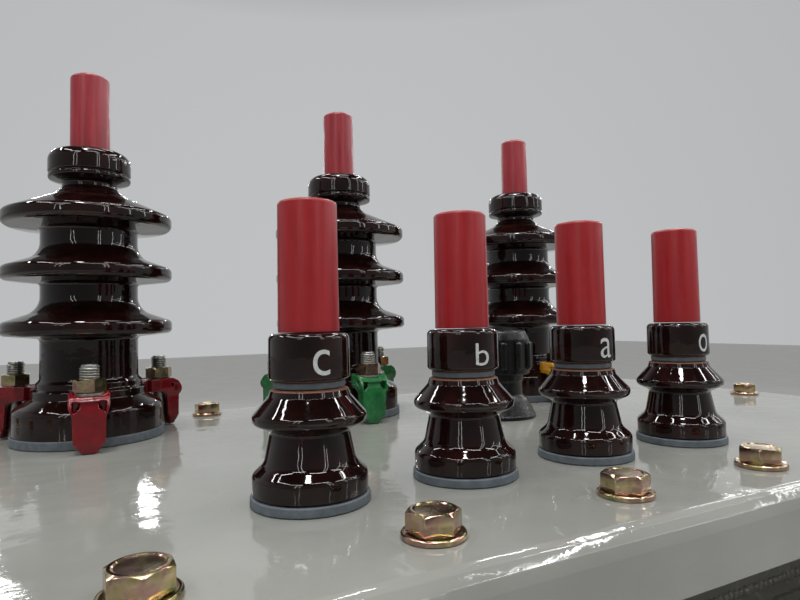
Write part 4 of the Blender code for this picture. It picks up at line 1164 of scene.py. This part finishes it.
def make_floor():
    """A flat painted floor, not attached to the transformer's body."""
    shape = bmesh.new()
    bmesh.ops.create_grid(shape, x_segments=1, y_segments=1, size=FLOOR_SIZE / 2)
    mesh = bpy.data.meshes.new("floor")
    shape.to_mesh(mesh)
    shape.free()
    floor = add_object("floor", mesh)
    mesh.materials.append(finish(
        "floor_paint", (400, EVEN, ((0.30, "#d2d2cf"), (0.70, "#dadad6"))), (60, 0.6, 0.8),
        ((30, EVEN, 0.1),)))


def make_world():
    """A plain world: pale all round, palest behind the transformer, and dark overhead."""
    world = bpy.data.worlds.new("plain_world")
    bpy.context.scene.world = world
    world.use_nodes = True
    tree = world.node_tree
    direction = node(tree, "ShaderNodeTexCoord", output="Generated")
    up = node(tree, "ShaderNodeSeparateXYZ", {0: direction}, "Z")
    behind = node(tree, "ShaderNodeVectorMath", {0: direction, 1: BEHIND}, "Value",
                  operation="DOT_PRODUCT")
    overhead = node(tree, "ShaderNodeMapRange", {0: up, 1: DARK_FROM, 2: DARK_TO})
    tint = node(tree, "ShaderNodeValToRGB", {"Fac": overhead},
                stops=((0.0, PALE_COLOUR), (1.0, DARK_COLOUR)))
    level = node(tree, "ShaderNodeMapRange", {
        0: behind, 1: -1.0, 2: 1.0, 3: WORLD_LEVEL * FRONT_SHARE, 4: WORLD_LEVEL})
    background = tree.nodes["Background"]
    tree.links.new(tint, background.inputs["Color"])
    tree.links.new(level, background.inputs["Strength"])


make_floor()
make_world()
print("floor of", FLOOR_SIZE, "m, world at", WORLD_LEVEL)

# %% [markdown]
# Glaze and gloss enamel are seen by what they mirror, so the lamps have shapes.
# Rows of long narrow lamps show as streaks in the glaze and along the cover's
# fold, and tall bars in front and at the sides as upright streaks.  Four small
# lamps stand low and far away, just where the level cover mirrors them, and a
# weak sun lights the whole floor.

# %% Lamps
AIM = Vector((0.0, 0.0, COVER_TOP))
SUN_STRENGTH = 0.95
SUN_SPREAD = 7
SUN_TILT = (math.radians(12), math.radians(-8), 0)
STRIPS = (("strip", (-1.5, 0.1, 1.7), (-2.0, 0.0, 2.0), 2.6, 1.5, 12.5),
          ("right_strip", (-2.6, -0.9, 0.8, 2.5, 4.2), (5.0, 8.0), 2.9, 2.0, 6))
STRIP_WIDTH = 0.08
FAR_LAMPS = (("far_a", -6, 18), ("far_b", 3, 14.5), ("far_c", 24, 19), ("far_d", 55, 17))
FAR_DISTANCE = 8.0
FAR_SIZE = (0.45, 0.12)
FAR_WATTS = 9
BAR_PLACES = ((-2.3, -2.0), (-2.0, -2.3), (0.8, -2.9), (1.1, -2.8), (2.4, -1.8), (2.9, -0.6))
BAR_RISE = 1.9
BAR_SIZE = (0.05, 3.0)
BAR_WATTS = 5.5


def add_lamp(name, place, size, watts):
    """A rectangular soft lamp that faces the cover."""
    data = bpy.data.lights.new(name, "AREA")
    data.shape = "RECTANGLE"
    data.size, data.size_y = size
    data.energy = watts
    lamp = add_object(name, data)
    away = (Vector(place) - AIM).to_track_quat("Z", "Y")
    lamp.matrix_world = Matrix.LocRotScale(Vector(place), away, None)
    lamp.visible_camera = False


def place_seen_in_cover(turn, rise):
    """Where a far lamp stands, by its turn and rise in degrees from the camera."""
    heading = math.radians(turn)
    level = math.cos(math.radians(rise)) * FAR_DISTANCE
    up = math.sin(math.radians(rise)) * FAR_DISTANCE
    return CAMERA_PLACE + Vector((math.sin(heading) * level, math.cos(heading) * level, up))


def add_sun():
    """Even light from a wide part of the sky, which reaches the whole floor."""
    data = bpy.data.lights.new("sky_glow", "SUN")
    data.energy = SUN_STRENGTH
    data.angle = math.radians(SUN_SPREAD)
    add_object("sky_glow", data).rotation_euler = SUN_TILT


add_sun()
for name, rows, columns, rise, length, watts in STRIPS:
    for row, y in enumerate(rows):
        for column, x in enumerate(columns):
            place = (x, y, COVER_TOP + rise)
            add_lamp(f"{name}_{row}_{column}", place, (length, STRIP_WIDTH), watts)
for name, turn, rise in FAR_LAMPS:
    add_lamp(name, place_seen_in_cover(turn, rise), FAR_SIZE, FAR_WATTS)
for index, (x, y) in enumerate(BAR_PLACES):
    add_lamp(f"window_bar_{index}", (x, y, COVER_TOP + BAR_RISE), BAR_SIZE, BAR_WATTS)
bpy.context.scene.view_settings.view_transform = "Standard"
print(len(bpy.data.lights), "lamps")
